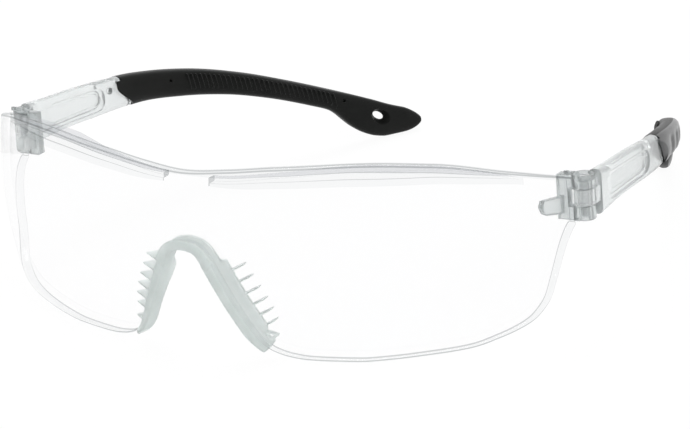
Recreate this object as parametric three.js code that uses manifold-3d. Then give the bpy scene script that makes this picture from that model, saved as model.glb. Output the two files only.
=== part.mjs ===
// Clear wraparound safety glasses: one moulded lens, a soft nose piece, two hinge blocks with their screws,
// and two clear temples in soft dark sleeves.
// Millimetres, +Z up. The wearer looks along -Y, and the wearer's left is +X.
// The glasses lie as on a table, arms open: the lens's lower edge and the two temple tips touch z = 0.

import * as THREE from 'three';
import { mergeVertices } from 'three/addons/utils/BufferGeometryUtils.js';
import Module from 'manifold-3d';

const wasm = await Module();
wasm.setup();

// Clearances and cutting overrun
const restGap = 0.3;
const screwGap = 0.25;
const cutOverrun = 1;

// Lens: half an ellipse in plan, crowned in height
const lensHalfWidth = 72;
const lensWrapDepth = 42.6;
const lensCrownRadius = 90;
const lensThickness = 2.1;
const lensHeight = 44.2;
const lensWidestShare = 0.579;
const lensEndAngle = 1.541;
const lensColumns = 42;
const lensRows = 5;
const lensColumnCrowding = 1.4;

// Heights of the lens's edges, as shares of its height, along shares of its end angle
const upperEdgeShares = [
  [0, 0.93], [0.1, 0.95], [0.2, 0.975], [0.4, 1], [0.55, 0.983], [0.75, 0.908], [1, 0.799],
];
const lowerEdgeShares = [
  [0, 0.57], [0.0207, 0.563], [0.0361, 0.543], [0.0487, 0.505], [0.0605, 0.452], [0.0695, 0.407],
  [0.0786, 0.362], [0.0923, 0.294], [0.106, 0.231], [0.1169, 0.181], [0.127, 0.136], [0.1389, 0.0905],
  [0.1519, 0.061], [0.1696, 0.036], [0.1995, 0.0136], [0.236, 0.002], [0.265, 0], [0.35, 0], [0.42, 0.011],
  [0.5, 0.027], [0.63, 0.05], [0.7, 0.079], [0.77, 0.111], [0.82, 0.1425], [0.855, 0.1855], [0.877, 0.226],
  [0.9, 0.321], [0.917, 0.391], [0.934, 0.45], [0.954, 0.5], [0.976, 0.536], [1, 0.561],
];

// Brow ledge behind the lens's upper edge, one crescent on each side of a gap
const browGapHalfWidth = 4.9;
const browEndShare = 0.811;
const browLedgeDepth = 8;
const browLedgeSink = 1;
const browSteps = 18;
const browDepthShares = [
  [0, 0.33], [0.2, 0.56], [0.35, 0.86], [0.45, 1], [0.66, 0.92], [0.82, 0.68], [1, 0],
];
const browUpperShares = [[0, 0.896], [0.2, 0.924], [0.42, 0.949], [0.62, 0.937], [0.82, 0.9], [1, 0.858]];
const browLowerShares = [[0, 0.869], [0.2, 0.897], [0.42, 0.916], [0.62, 0.914], [0.82, 0.886], [1, 0.846]];

// Nose piece: a soft channel round the nose cut-out; behind it on each side a wall, a flange and a comb of fins
const channelLip = 1.6;
const channelWeb = 1.3;
const channelEndWeb = 0.8;
const channelProud = 0.7;
const channelEndShare = 0.1544;
const channelTaperShare = 0.1168;
const channelSteps = 14;
const flangeWidth = 3.4;
const flangeThickness = 1.2;
const flangeSetBack = 0.7;
const padDepth = 2.7;
const padWall = 1.5;
const padSplay = 1.5;
const padInset = 0.25;
const padTopShare = 0.0597;
const padBottomShare = 0.1324;
const padSteps = 8;
const finCount = 7;
const finWidth = 6.3;
const finThickness = 0.9;
const finSetIn = 0.5;
const finRootShare = 0.6;

// Hinge: a block at the lens's end carries two leaves, and a screw runs through them and the temple's knuckle
const hingeOffset = 0.6;
const leafRadius = 2.3;
const leafThickness = 2.9;
const postInset = 4.6;
const postWall = 2.4;
const postRearSetBack = 0.3;
const blockHeight = 9.8;
const blockTopDrop = 0.1;
const capReach = 2.8;
const capThickness = 0.9;
const capInset = 3.6;
const tongueFrontShare = 0.8825;
const tongueWall = 1.7;
const tongueFrontShares = [0.294, 0.61];
const tongueRearShares = [0.151, 0.549];
const tongueSteps = 4;
const screwRadius = 0.85;
const screwHeadRadius = 1.45;
const screwHeadThickness = 0.8;
const screwHeadSink = 0.3;
const driveSlotWidth = 0.4;
const driveSlotDepth = 0.4;
const roundSides = 20;

// Temple: in plan its middle line starts beside the hinge, runs straight, bends round the head and runs on
const templeOffset = 1.5;
const templeToeIn = THREE.MathUtils.degToRad(5);
const templeFrontRun = 28;
const templeBend = THREE.MathUtils.degToRad(25);
const templeBendRun = 34;
const templeLength = 117.8;
const templeTopRise = 0.4;

// Heights of the temple's edges, as shares of its front height, along shares of its length
const templeTopShares = [
  [0, 1], [0.084, 0.983], [0.143, 0.975], [0.202, 0.961], [0.261, 0.944], [0.32, 0.927], [0.376, 0.902],
  [0.4275, 0.874], [0.502, 0.823], [0.598, 0.733], [0.694, 0.618], [0.792, 0.489], [0.89, 0.351],
  [0.935, 0.283], [1, 0.225],
];
const templeBottomShares = [
  [0, 0.717], [0.118, 0.733], [0.219, 0.724], [0.346, 0.714], [0.455, 0.671], [0.555, 0.612], [0.652, 0.52],
  [0.749, 0.399], [0.786, 0.3455], [0.803, 0.303], [0.817, 0.2556], [0.8356, 0.1966], [0.865, 0.129],
  [0.8946, 0.087], [0.92, 0.07], [0.946, 0.07], [0.967, 0.084], [1, 0.112],
];
const tipHeightShare = 0.15;
const tipRoundRun = 8.5;

// Clear core of the temple
const coreThickness = 3;
const coreTongueThickness = 1.6;
const coreSlimStart = 34;
const coreSlimEnd = 44;
const coreEndShare = 0.73;
const coreCornerShare = 0.3;
const coreCornerRiseShare = 0.12;
const hollowFrontCornerShare = 0.1;
const coreSteps = 24;
const shoulderDrop = 1.4;
const shoulderRun = 0.3;
const panelDepth = 0.6;
const panelMargin = 1.5;
const innerPanelStart = 8.6;
const outerPanelStart = 5.4;
const panelEnd = 28.6;
const panelSteps = 8;
const pegHoleRun = 30.6;
const pegHoleHeightShare = 0.868;
const pegHoleRadius = 0.85;
const pegHoleDepth = 1.2;

// Sleeve: soft, rounded, proud of the clear core, with a paddle at its rear end
const sleeveThickness = 4.8;
const sleeveTipShare = 0.7;
const sleeveTipStartShare = 0.6;
const sleeveSquareness = 2.8;
const sleeveSides = 12;
const sleeveSteps = 30;
const sleeveCrowding = 1.5;
const notchCount = 5;
const notchFirstRun = 43;
const notchPitch = 6;
const notchDepth = 0.6;
const notchRadius = 4;
const lanyardRunShare = 0.892;
const lanyardHeightShare = 0.247;
const lanyardHalfLength = 2.1;
const lanyardHalfHeight = 1.5;

// Front edge of the sleeve on each face, from the lower edge to the upper one
const sleeveInnerFront = { low: 38.6, point: 33.6, high: 35.4, pointShare: 0.6 };
const sleeveOuterFront = { low: 33, point: 37, high: 31.4, pointShare: 0.35 };

// Materials
const clearPlastic = new THREE.MeshStandardMaterial({ color: 0xe6ecea, roughness: 0.08, metalness: 0 });
const frostPlastic = new THREE.MeshStandardMaterial({ color: 0xb9c1be, roughness: 0.3, metalness: 0 });
const softClear = new THREE.MeshStandardMaterial({ color: 0xc6d2ce, roughness: 0.4, metalness: 0 });
const softDark = new THREE.MeshStandardMaterial({ color: 0x181a18, roughness: 0.6, metalness: 0 });
const steel = new THREE.MeshStandardMaterial({ color: 0xb4b7b8, roughness: 0.3, metalness: 1 });

// Smooth curve through [place, value] pairs that never swings past a value, read at one place
function valueAt(pairs, place) {
  const last = pairs.length - 1;
  let i = 0;
  while (i < last - 1 && place > pairs[i + 1][0]) {
    i += 1;
  }
  const rate = (k) => (pairs[k + 1][1] - pairs[k][1]) / (pairs[k + 1][0] - pairs[k][0]);
  const slope = (k) => {
    if (k === 0) {
      return 0;
    }
    if (k === last) {
      return rate(last - 1);
    }
    const product = rate(k - 1) * rate(k);
    return product > 0 ? (2 * product) / (rate(k - 1) + rate(k)) : 0;
  };
  const span = pairs[i + 1][0] - pairs[i][0];
  const w = THREE.MathUtils.clamp((place - pairs[i][0]) / span, 0, 1);
  const bend = w * w * (3 - 2 * w);
  const pull = w * (1 - w) * span * ((1 - w) * slope(i) - w * slope(i + 1));
  return pairs[i][1] + (pairs[i + 1][1] - pairs[i][1]) * bend + pull;
}

// Closed surface from points and triangles, turned so that its faces point out
function closedSurface(points, triangles) {
  const a = new THREE.Vector3();
  let volume = 0;
  for (let i = 0; i < triangles.length; i += 3) {
    a.crossVectors(points[triangles[i]], points[triangles[i + 1]]);
    volume += a.dot(points[triangles[i + 2]]);
  }
  const geometry = new THREE.BufferGeometry().setFromPoints(points);
  geometry.setIndex(volume > 0 ? triangles : triangles.slice().reverse());
  return geometry;
}

// Skin over rings of equally many points, closed at both ends by the given triangles of a ring
function loft(rings, endTriangles) {
  const sides = rings[0].length;
  const triangles = [];
  for (let k = 0; k + 1 < rings.length; k += 1) {
    for (let j = 0; j < sides; j += 1) {
      const [a, b] = [k * sides + j, k * sides + ((j + 1) % sides)];
      triangles.push(a, b, b + sides, a, b + sides, a + sides);
    }
  }
  const far = (rings.length - 1) * sides;
  for (const [a, b, c] of endTriangles) {
    triangles.push(a, c, b, far + a, far + b, far + c);
  }
  return closedSurface(rings.flat(), triangles);
}

// Triangles of a convex ring, as a fan
function fan(sides) {
  return Array.from({ length: sides - 2 }, (_, j) => [0, j + 1, j + 2]);
}

// Triangles of a ring whose first half runs along one face of a wall and whose second half comes back
function strip(sides) {
  const triangles = [];
  for (let j = 0; j + 1 < sides / 2; j += 1) {
    const opposite = sides - 1 - j;
    triangles.push([j, j + 1, opposite - 1], [j, opposite - 1, opposite]);
  }
  return triangles;
}

// Triangles of any flat outline
function fill(outline) {
  const flat = outline.map(([x, y]) => new THREE.Vector2(x, y));
  const triangles = THREE.ShapeUtils.triangulateShape(flat, []);
  return THREE.ShapeUtils.isClockWise(flat) ? triangles.map(([a, b, c]) => [a, c, b]) : triangles;
}

function toSolid(geometry) {
  const bare = new THREE.BufferGeometry();
  bare.setAttribute('position', geometry.getAttribute('position').clone());
  if (geometry.index) {
    bare.setIndex(geometry.index.clone());
  }
  const merged = mergeVertices(bare);
  const vertProperties = new Float32Array(merged.getAttribute('position').array);
  const triVerts = new Uint32Array(merged.index.array);
  return new wasm.Manifold(new wasm.Mesh({ numProp: 3, vertProperties, triVerts }));
}

function toGeometry(solid) {
  const { vertProperties, triVerts } = solid.getMesh();
  const geometry = new THREE.BufferGeometry();
  geometry.setAttribute('position', new THREE.BufferAttribute(vertProperties, 3));
  geometry.setIndex(new THREE.BufferAttribute(triVerts, 1));
  return geometry;
}

function mirrored(geometry) {
  const copy = geometry.clone();
  copy.scale(-1, 1, 1);
  copy.setIndex([...copy.index.array].reverse());
  return copy;
}

// Upright round bar between two heights
function uprightBar(x, y, radius, bottom, top) {
  const bar = new THREE.CylinderGeometry(radius, radius, top - bottom, roundSides);
  bar.rotateX(Math.PI / 2);
  bar.translate(x, y, (bottom + top) / 2);
  return toSolid(bar);
}

// Box between two ends on each axis
function block([x0, x1], [y0, y1], [z0, z1]) {
  const box = new THREE.BoxGeometry(x1 - x0, y1 - y0, z1 - z0);
  box.translate((x0 + x1) / 2, (y0 + y1) / 2, (z0 + z1) / 2);
  return toSolid(box);
}

const lensWidestHeight = lensHeight * lensWidestShare;

// Lens: a point at a plan angle and a height, set back from the front face by a depth
function lensPoint(angle, height, depth) {
  const inward = new THREE.Vector2(-lensWrapDepth * Math.sin(angle), lensHalfWidth * Math.cos(angle));
  inward.normalize();
  const rise = height - lensWidestHeight;
  const setBack = lensCrownRadius - Math.sqrt(lensCrownRadius ** 2 - rise ** 2) + depth;
  return new THREE.Vector3(
    lensHalfWidth * Math.sin(angle) + inward.x * setBack,
    lensWrapDepth * (1 - Math.cos(angle)) + inward.y * setBack,
    height,
  );
}

function upperEdge(angle) {
  return lensHeight * valueAt(upperEdgeShares, Math.abs(angle) / lensEndAngle);
}

function lowerEdge(angle) {
  return lensHeight * valueAt(lowerEdgeShares, Math.abs(angle) / lensEndAngle);
}

function lensShell() {
  const rings = [];
  for (let i = -lensColumns; i <= lensColumns; i += 1) {
    const angle = lensEndAngle * Math.sign(i) * (Math.abs(i) / lensColumns) ** lensColumnCrowding;
    const heights = Array.from({ length: lensRows + 1 }, (_, j) => (
      THREE.MathUtils.lerp(lowerEdge(angle), upperEdge(angle), j / lensRows)
    ));
    const front = heights.map((height) => lensPoint(angle, height, 0));
    const back = heights.map((height) => lensPoint(angle, height, lensThickness));
    rings.push([...front, ...back.reverse()]);
  }
  return toSolid(loft(rings, strip(rings[0].length)));
}

function browLedge() {
  const startAngle = Math.asin(browGapHalfWidth / lensHalfWidth);
  const endAngle = lensEndAngle * browEndShare;
  const root = lensThickness - browLedgeSink;
  const rings = [];
  for (let k = 0; k <= browSteps; k += 1) {
    const share = k / browSteps;
    const angle = THREE.MathUtils.lerp(startAngle, endAngle, share);
    const low = lensHeight * valueAt(browLowerShares, share);
    const high = lensHeight * valueAt(browUpperShares, share);
    const back = root + browLedgeSink / 2 + browLedgeDepth * valueAt(browDepthShares, share);
    rings.push([
      lensPoint(angle, low, root), lensPoint(angle, high, root),
      lensPoint(angle, high, back), lensPoint(angle, low, back),
    ]);
  }
  return toSolid(loft(rings, fan(4)));
}

function lensGeometry() {
  const ledge = browLedge();
  return toGeometry(lensShell().add(ledge).add(toSolid(mirrored(toGeometry(ledge)))));
}

// Nose piece: a point beside the edge of the nose cut-out, some way out into the lens's area and some way back
function cutOutPoint(angle, out, deep) {
  const step = lensEndAngle / 1000;
  const place = lensPoint(angle, lowerEdge(angle), 0);
  const along = lensPoint(angle + step, lowerEdge(angle + step), 0)
    .sub(lensPoint(angle - step, lowerEdge(angle - step), 0)).normalize();
  const back = lensPoint(angle, lowerEdge(angle), lensThickness).sub(place).normalize();
  const outward = new THREE.Vector3().crossVectors(along, back).normalize();
  return { along, point: place.addScaledVector(outward, out).addScaledVector(back, deep) };
}

function sweepCutOut(sectionAt, startAngle, endAngle, steps) {
  const rings = [];
  for (let k = 0; k <= steps; k += 1) {
    const angle = THREE.MathUtils.lerp(startAngle, endAngle, k / steps);
    rings.push(sectionAt(angle).map(([out, deep]) => cutOutPoint(angle, out, deep).point));
  }
  return toSolid(loft(rings, fill(sectionAt(startAngle))));
}

const channelEndAngle = lensEndAngle * channelEndShare;
const padTopAngle = lensEndAngle * padTopShare;
const padBottomAngle = lensEndAngle * padBottomShare;

// Reach of the channel's web into the nose gap, which thins towards the channel's ends
function webReach(angle) {
  const share = THREE.MathUtils.smoothstep(Math.abs(angle), lensEndAngle * channelTaperShare, channelEndAngle);
  return THREE.MathUtils.lerp(channelWeb, channelEndWeb, share);
}

const channelBack = lensThickness + restGap + channelProud;

function noseChannel() {
  const front = -restGap - channelProud;
  const sectionAt = (angle) => [
    [-webReach(angle), front], [channelLip, front], [channelLip, -restGap], [-restGap, -restGap],
    [-restGap, lensThickness + restGap], [channelLip, lensThickness + restGap], [channelLip, channelBack],
    [-webReach(angle), channelBack],
  ];
  return sweepCutOut(sectionAt, -channelEndAngle, channelEndAngle, 2 * channelSteps);
}

// Left pad: the wall carries on back from the channel, and the flange runs out behind the lens
function nosePad() {
  const front = lensThickness + flangeSetBack;
  const rear = channelBack + padDepth;
  const sectionAt = (angle) => [
    [padInset - webReach(angle), front], [flangeWidth, front], [flangeWidth, front + flangeThickness],
    [padWall - channelWeb + padSplay / 2, front + flangeThickness], [padWall - channelWeb + padSplay, rear],
    [padSplay - channelWeb, rear],
  ];
  return sweepCutOut(sectionAt, padTopAngle, padBottomAngle, padSteps);
}

function noseFin(angle) {
  const flangeFront = lensThickness + flangeSetBack;
  const front = flangeFront + padInset;
  const rear = channelBack + padDepth - finSetIn;
  const outline = [
    [0, front], [finWidth, front], [finWidth, flangeFront + flangeThickness], [flangeWidth, rear],
    [padSplay * finRootShare, rear],
  ];
  const rings = [-finThickness / 2, finThickness / 2].map((shift) => outline.map(([out, deep]) => {
    const { along, point } = cutOutPoint(angle, out, deep);
    return point.addScaledVector(along, shift);
  }));
  return toSolid(loft(rings, fan(outline.length)));
}

function nosePieceGeometry() {
  let pad = nosePad();
  const finStep = (padBottomAngle - padTopAngle) / finCount;
  for (let i = 0; i < finCount; i += 1) {
    pad = pad.add(noseFin(padTopAngle + finStep * (i + 0.5)));
  }
  return toGeometry(noseChannel().add(pad).add(toSolid(mirrored(toGeometry(pad)))));
}

// Hinge places that follow from the lens's end
const hingeX = lensHalfWidth + hingeOffset;
const postInnerX = lensHalfWidth - postInset;
const blockTopHeight = upperEdge(lensEndAngle) - blockTopDrop;
const blockBottomHeight = blockTopHeight - blockHeight;
const lensEndY = lensPoint(lensEndAngle, lensWidestHeight, 0).y;
const postFrontY = lensEndY + restGap;
const hingeY = postFrontY + restGap + leafRadius;
const postRearY = hingeY - postRearSetBack;
const knuckleBottom = blockBottomHeight + leafThickness + restGap;
const knuckleTop = blockTopHeight - leafThickness - restGap;

// Flat leaf between two heights, round about the hinge line, with its web to the post
function leaf(bottom, top) {
  return block([postInnerX, hingeX], [postFrontY, postRearY], [bottom, top])
    .add(uprightBar(hingeX, hingeY, leafRadius, bottom, top));
}

function hingeTongue() {
  const front = lensThickness + restGap;
  const rings = [];
  for (let k = 0; k <= tongueSteps; k += 1) {
    const share = k / tongueSteps;
    const angle = lensEndAngle * THREE.MathUtils.lerp(tongueFrontShare, 1, share);
    const [low, high] = tongueFrontShares.map((frontShare, edge) => (
      blockBottomHeight + blockHeight * THREE.MathUtils.lerp(frontShare, tongueRearShares[edge], share)
    ));
    rings.push([
      lensPoint(angle, low, front), lensPoint(angle, high, front),
      lensPoint(angle, high, front + tongueWall), lensPoint(angle, low, front + tongueWall),
    ]);
  }
  const middleY = (postFrontY + postRearY) / 2;
  rings.push(rings[tongueSteps].map((p) => new THREE.Vector3(p.x, middleY, p.z)));
  return toSolid(loft(rings, fan(4)));
}

// Cap that runs forward over the end of the lens's upper edge
function hingeCap() {
  const frontAngle = lensEndAngle - capReach / lensWrapDepth;
  const frontY = lensPoint(frontAngle, lensWidestHeight, 0).y;
  const underFront = upperEdge(frontAngle) + restGap;
  const underRear = upperEdge(lensEndAngle) + restGap;
  const sunk = blockTopHeight - leafThickness / 2;
  const outline = new THREE.Shape([
    new THREE.Vector2(frontY, underFront), new THREE.Vector2(postFrontY, underRear),
    new THREE.Vector2(postFrontY, sunk), new THREE.Vector2(postRearY, sunk),
    new THREE.Vector2(postRearY, blockTopHeight), new THREE.Vector2(postFrontY, underRear + capThickness),
    new THREE.Vector2(frontY, underFront + capThickness),
  ]);
  const capInnerX = lensHalfWidth - capInset;
  const geometry = new THREE.ExtrudeGeometry(outline, { depth: hingeX - capInnerX, bevelEnabled: false });
  geometry.applyMatrix4(new THREE.Matrix4().makeBasis(
    new THREE.Vector3(0, 1, 0), new THREE.Vector3(0, 0, 1), new THREE.Vector3(1, 0, 0),
  ));
  geometry.translate(capInnerX, 0, 0);
  return toSolid(geometry);
}

function hingeBlockGeometry() {
  const post = block(
    [postInnerX, postInnerX + postWall], [postFrontY, postRearY], [blockBottomHeight, blockTopHeight],
  );
  const bore = uprightBar(
    hingeX, hingeY, screwRadius + screwGap, blockBottomHeight - cutOverrun, blockTopHeight + cutOverrun,
  );
  const headSeat = uprightBar(
    hingeX, hingeY, screwHeadRadius + screwGap,
    blockTopHeight - screwHeadSink - screwHeadThickness - screwGap, blockTopHeight + cutOverrun,
  );
  const body = post.add(hingeTongue()).add(hingeCap())
    .add(leaf(blockBottomHeight, knuckleBottom - restGap))
    .add(leaf(knuckleTop + restGap, blockTopHeight));
  return toGeometry(body.subtract(bore).subtract(headSeat));
}

function hingeScrewGeometry() {
  const headTop = blockTopHeight - screwHeadSink;
  const shank = uprightBar(hingeX, hingeY, screwRadius, blockBottomHeight + screwHeadSink, headTop);
  const head = uprightBar(hingeX, hingeY, screwHeadRadius, headTop - screwHeadThickness, headTop);
  const reach = screwHeadRadius + cutOverrun;
  const slot = block(
    [hingeX - reach, hingeX + reach], [hingeY - driveSlotWidth / 2, hingeY + driveSlotWidth / 2],
    [headTop - driveSlotDepth, headTop + cutOverrun],
  );
  return toGeometry(shank.add(head).subtract(slot));
}

const templeFrontTop = blockTopHeight + templeTopRise;
const lanyardHeight = templeFrontTop * lanyardHeightShare;
const lanyardRun = templeLength * lanyardRunShare;

// Temple's middle line in plan at a run along it, with its outward direction
function templePlan(run) {
  const forward = (angle) => new THREE.Vector2(-Math.sin(angle), Math.cos(angle));
  const place = new THREE.Vector2(hingeX + templeOffset, hingeY);
  place.addScaledVector(forward(templeToeIn), Math.min(run, templeFrontRun));
  const bendShare = THREE.MathUtils.clamp((run - templeFrontRun) / templeBendRun, 0, 1);
  const angle = templeToeIn + templeBend * bendShare;
  const radius = templeBendRun / templeBend;
  place.x += radius * (Math.cos(angle) - Math.cos(templeToeIn));
  place.y += radius * (Math.sin(angle) - Math.sin(templeToeIn));
  place.addScaledVector(forward(angle), Math.max(run - templeFrontRun - templeBendRun, 0));
  return { place, outward: new THREE.Vector2(Math.cos(angle), Math.sin(angle)) };
}

function templePoint(run, out, height) {
  const { place, outward } = templePlan(run);
  return new THREE.Vector3(place.x + outward.x * out, place.y + outward.y * out, height);
}

// Share of the temple's height that is left at a run, as it rounds off at the tip
function tipShare(run) {
  const w = THREE.MathUtils.clamp((run - templeLength + tipRoundRun) / tipRoundRun, 0, 1);
  return Math.sqrt(1 - (w * (1 - restGap / tipRoundRun)) ** 2);
}

function templeTop(run) {
  const share = valueAt(templeTopShares, run / templeLength);
  return templeFrontTop * THREE.MathUtils.lerp(tipHeightShare, share, tipShare(run));
}

function templeBottom(run) {
  const share = valueAt(templeBottomShares, run / templeLength);
  return templeFrontTop * THREE.MathUtils.lerp(tipHeightShare, share, tipShare(run));
}

// Front edge of the sleeve at a share of its height, on a face that lies some share of the way out
function sleeveFront(heightShare, outShare) {
  const [inner, outer] = [sleeveInnerFront, sleeveOuterFront].map(({ low, point, high, pointShare }) => (
    valueAt([[0, low], [pointShare, point], [1, high]], heightShare)
  ));
  return THREE.MathUtils.lerp(inner, outer, outShare);
}

// Clear bar from the hinge into the sleeve, with a margin that widens it for the sleeve's hollow,
// and the share of its corners' rounding that is left in front of the shoulder
function coreBar(startRun, margin, frontCornerShare) {
  const topShoulder = sleeveFront(1, 0.5) - restGap;
  const bottomShoulder = sleeveFront(0, 0.5) - restGap;
  const endRun = templeLength * coreEndShare + margin;
  const runs = [topShoulder, topShoulder + shoulderRun, bottomShoulder, bottomShoulder + shoulderRun];
  for (let k = 0; k <= coreSteps; k += 1) {
    runs.push(THREE.MathUtils.lerp(startRun, endRun, k / coreSteps));
  }
  const rings = runs.filter((run) => run >= startRun).sort((a, b) => a - b).map((run) => {
    const slim = THREE.MathUtils.smoothstep(run, coreSlimStart, coreSlimEnd);
    const half = THREE.MathUtils.lerp(coreThickness, coreTongueThickness, slim) / 2 + margin;
    const past = (start) => THREE.MathUtils.clamp((run - start) / shoulderRun, 0, 1);
    const low = templeBottom(run) + shoulderDrop * past(bottomShoulder) - margin;
    const high = templeTop(run) - shoulderDrop * past(topShoulder) + margin;
    const rounding = THREE.MathUtils.lerp(frontCornerShare, 1, past(bottomShoulder));
    const corner = half * 2 * coreCornerShare * rounding;
    const rise = (high - low) * coreCornerRiseShare * rounding;
    const outline = [
      [half, low + rise], [half, high - rise], [half - corner, high], [corner - half, high],
      [-half, high - rise], [-half, low + rise], [corner - half, low], [half - corner, low],
    ];
    return outline.map(([out, height]) => templePoint(run, out, height));
  });
  return toSolid(loft(rings, fan(8)));
}

// Shallow recess along one face of the clear bar
function facePanel(side, startRun) {
  const deep = side * (coreThickness / 2 - panelDepth);
  const clear = side * (coreThickness / 2 + cutOverrun);
  const rings = [];
  for (let k = 0; k <= panelSteps; k += 1) {
    const run = THREE.MathUtils.lerp(startRun, panelEnd, k / panelSteps);
    const low = templeBottom(run) + panelMargin;
    const high = templeTop(run) - panelMargin;
    rings.push([
      templePoint(run, deep, low), templePoint(run, clear, low),
      templePoint(run, clear, high), templePoint(run, deep, high),
    ]);
  }
  return toSolid(loft(rings, fan(4)));
}

// Oval bar across a temple between two distances out from its middle line
function crossBar(run, height, halfLength, halfHeight, [outStart, outEnd]) {
  const bar = new THREE.CylinderGeometry(1, 1, outEnd - outStart, roundSides);
  bar.rotateZ(-Math.PI / 2);
  bar.scale(1, halfLength, halfHeight);
  bar.translate((outStart + outEnd) / 2, 0, 0);
  const { place, outward } = templePlan(run);
  bar.rotateZ(Math.atan2(outward.y, outward.x));
  bar.translate(place.x, place.y, height);
  return toSolid(bar);
}

function templeCoreGeometry() {
  const knuckle = uprightBar(hingeX, hingeY, leafRadius, knuckleBottom, knuckleTop);
  const neckRear = hingeY + leafRadius + 2 * restGap;
  const neck = block([hingeX, hingeX + leafRadius], [hingeY, neckRear], [knuckleBottom, knuckleTop]);
  const bore = uprightBar(
    hingeX, hingeY, screwRadius + screwGap, knuckleBottom - cutOverrun, knuckleTop + cutOverrun,
  );
  const pegHole = crossBar(
    pegHoleRun, templeFrontTop * pegHoleHeightShare, pegHoleRadius, pegHoleRadius,
    [-coreThickness / 2 - cutOverrun, pegHoleDepth - coreThickness / 2],
  );
  return toGeometry(coreBar(leafRadius + restGap, 0, 1).add(knuckle).add(neck)
    .subtract(bore)
    .subtract(facePanel(-1, innerPanelStart))
    .subtract(facePanel(1, outerPanelStart))
    .subtract(pegHole));
}

function sleeveBody() {
  const rings = [];
  for (let k = 0; k <= sleeveSteps; k += 1) {
    const share = 1 - (1 - k / sleeveSteps) ** sleeveCrowding;
    const tipward = THREE.MathUtils.smoothstep(share, sleeveTipStartShare, 1);
    const slim = THREE.MathUtils.lerp(1, sleeveTipShare, tipward);
    const ring = [];
    for (let j = 0; j < sleeveSides; j += 1) {
      const turn = (2 * Math.PI * j) / sleeveSides;
      const round = (value) => Math.sign(value) * Math.abs(value) ** (2 / sleeveSquareness);
      const [out, up] = [round(Math.cos(turn)), round(Math.sin(turn))];
      const front = sleeveFront((1 + up) / 2, (1 + out) / 2);
      const run = THREE.MathUtils.lerp(front, templeLength, share);
      const half = (sleeveThickness / 2) * slim * THREE.MathUtils.lerp(0.5, 1, tipShare(run));
      const height = THREE.MathUtils.lerp(templeBottom(run), templeTop(run), (1 + up) / 2);
      ring.push(templePoint(run, half * out, height));
    }
    rings.push(ring);
  }
  return toSolid(loft(rings, fan(sleeveSides)));
}

// Finger notch across the sleeve's outer face
function fingerNotch(run) {
  const { place, outward } = templePlan(run);
  const reach = sleeveThickness / 2 + notchRadius - notchDepth;
  return uprightBar(
    place.x + outward.x * reach, place.y + outward.y * reach, notchRadius,
    templeBottom(run) - cutOverrun, templeTop(run) + cutOverrun,
  );
}

function templeSleeveGeometry() {
  const hollow = coreBar(sleeveInnerFront.point - 2 * cutOverrun, restGap, hollowFrontCornerShare);
  let sleeve = sleeveBody().subtract(hollow);
  for (let i = 0; i < notchCount; i += 1) {
    sleeve = sleeve.subtract(fingerNotch(notchFirstRun + notchPitch * i));
  }
  const hole = crossBar(
    lanyardRun, lanyardHeight, lanyardHalfLength, lanyardHalfHeight, [-sleeveThickness, sleeveThickness],
  );
  return toGeometry(sleeve.subtract(hole));
}

// The glasses, tipped so that the lens and the temple tips rest together, and centred over their own footprint
const glasses = new THREE.Group();
const tipped = new THREE.Group();
glasses.add(tipped);

function addPiece(name, geometry, material) {
  const flat = geometry.index ? geometry.toNonIndexed() : geometry;
  flat.computeVertexNormals();
  const mesh = new THREE.Mesh(mergeVertices(flat), material);
  mesh.name = name;
  tipped.add(mesh);
}

function addPair(name, geometry, material) {
  addPiece(`${name}_left`, geometry, material);
  addPiece(`${name}_right`, mirrored(geometry), material);
}

addPiece('lens', lensGeometry(), clearPlastic);
addPiece('nose_piece', nosePieceGeometry(), softClear);
addPair('hinge_block', hingeBlockGeometry(), frostPlastic);
addPair('hinge_screw', hingeScrewGeometry(), steel);
addPair('temple_core', templeCoreGeometry(), clearPlastic);
addPair('temple_sleeve', templeSleeveGeometry(), softDark);

// Lowest point of one piece in the glasses' own frame
function lowestPoint(name) {
  const positions = tipped.getObjectByName(name).geometry.getAttribute('position');
  const lowest = new THREE.Vector3(0, 0, Infinity);
  const point = new THREE.Vector3();
  for (let i = 0; i < positions.count; i += 1) {
    point.fromBufferAttribute(positions, i).applyMatrix4(tipped.matrix);
    if (point.z < lowest.z) {
      lowest.copy(point);
    }
  }
  return lowest;
}

for (let i = 0; i < 4; i += 1) {
  tipped.updateMatrix();
  const front = lowestPoint('lens');
  const rear = lowestPoint('temple_sleeve_left');
  tipped.rotation.x -= Math.atan2(rear.z - front.z, rear.y - front.y);
}

glasses.updateMatrixWorld(true);
const footprint = new THREE.Box3().setFromObject(glasses, true);
tipped.position.y -= (footprint.min.y + footprint.max.y) / 2;
tipped.position.z -= footprint.min.z;

export default glasses;
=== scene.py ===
"""Clear wraparound safety glasses, dressed for a white studio.

Shapes are worked out in millimetres in the glasses' own upright frame: x towards the wearer's left, y back from
the front of the lens, z up. PLACE turns them into the part's frame, in which the open glasses rest on a table.
"""

import logging
import math
from dataclasses import dataclass, field
from enum import Enum, IntEnum
from typing import ClassVar, Mapping, Sequence

import bpy
import numpy as np
from mathutils import Matrix, Vector

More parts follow.
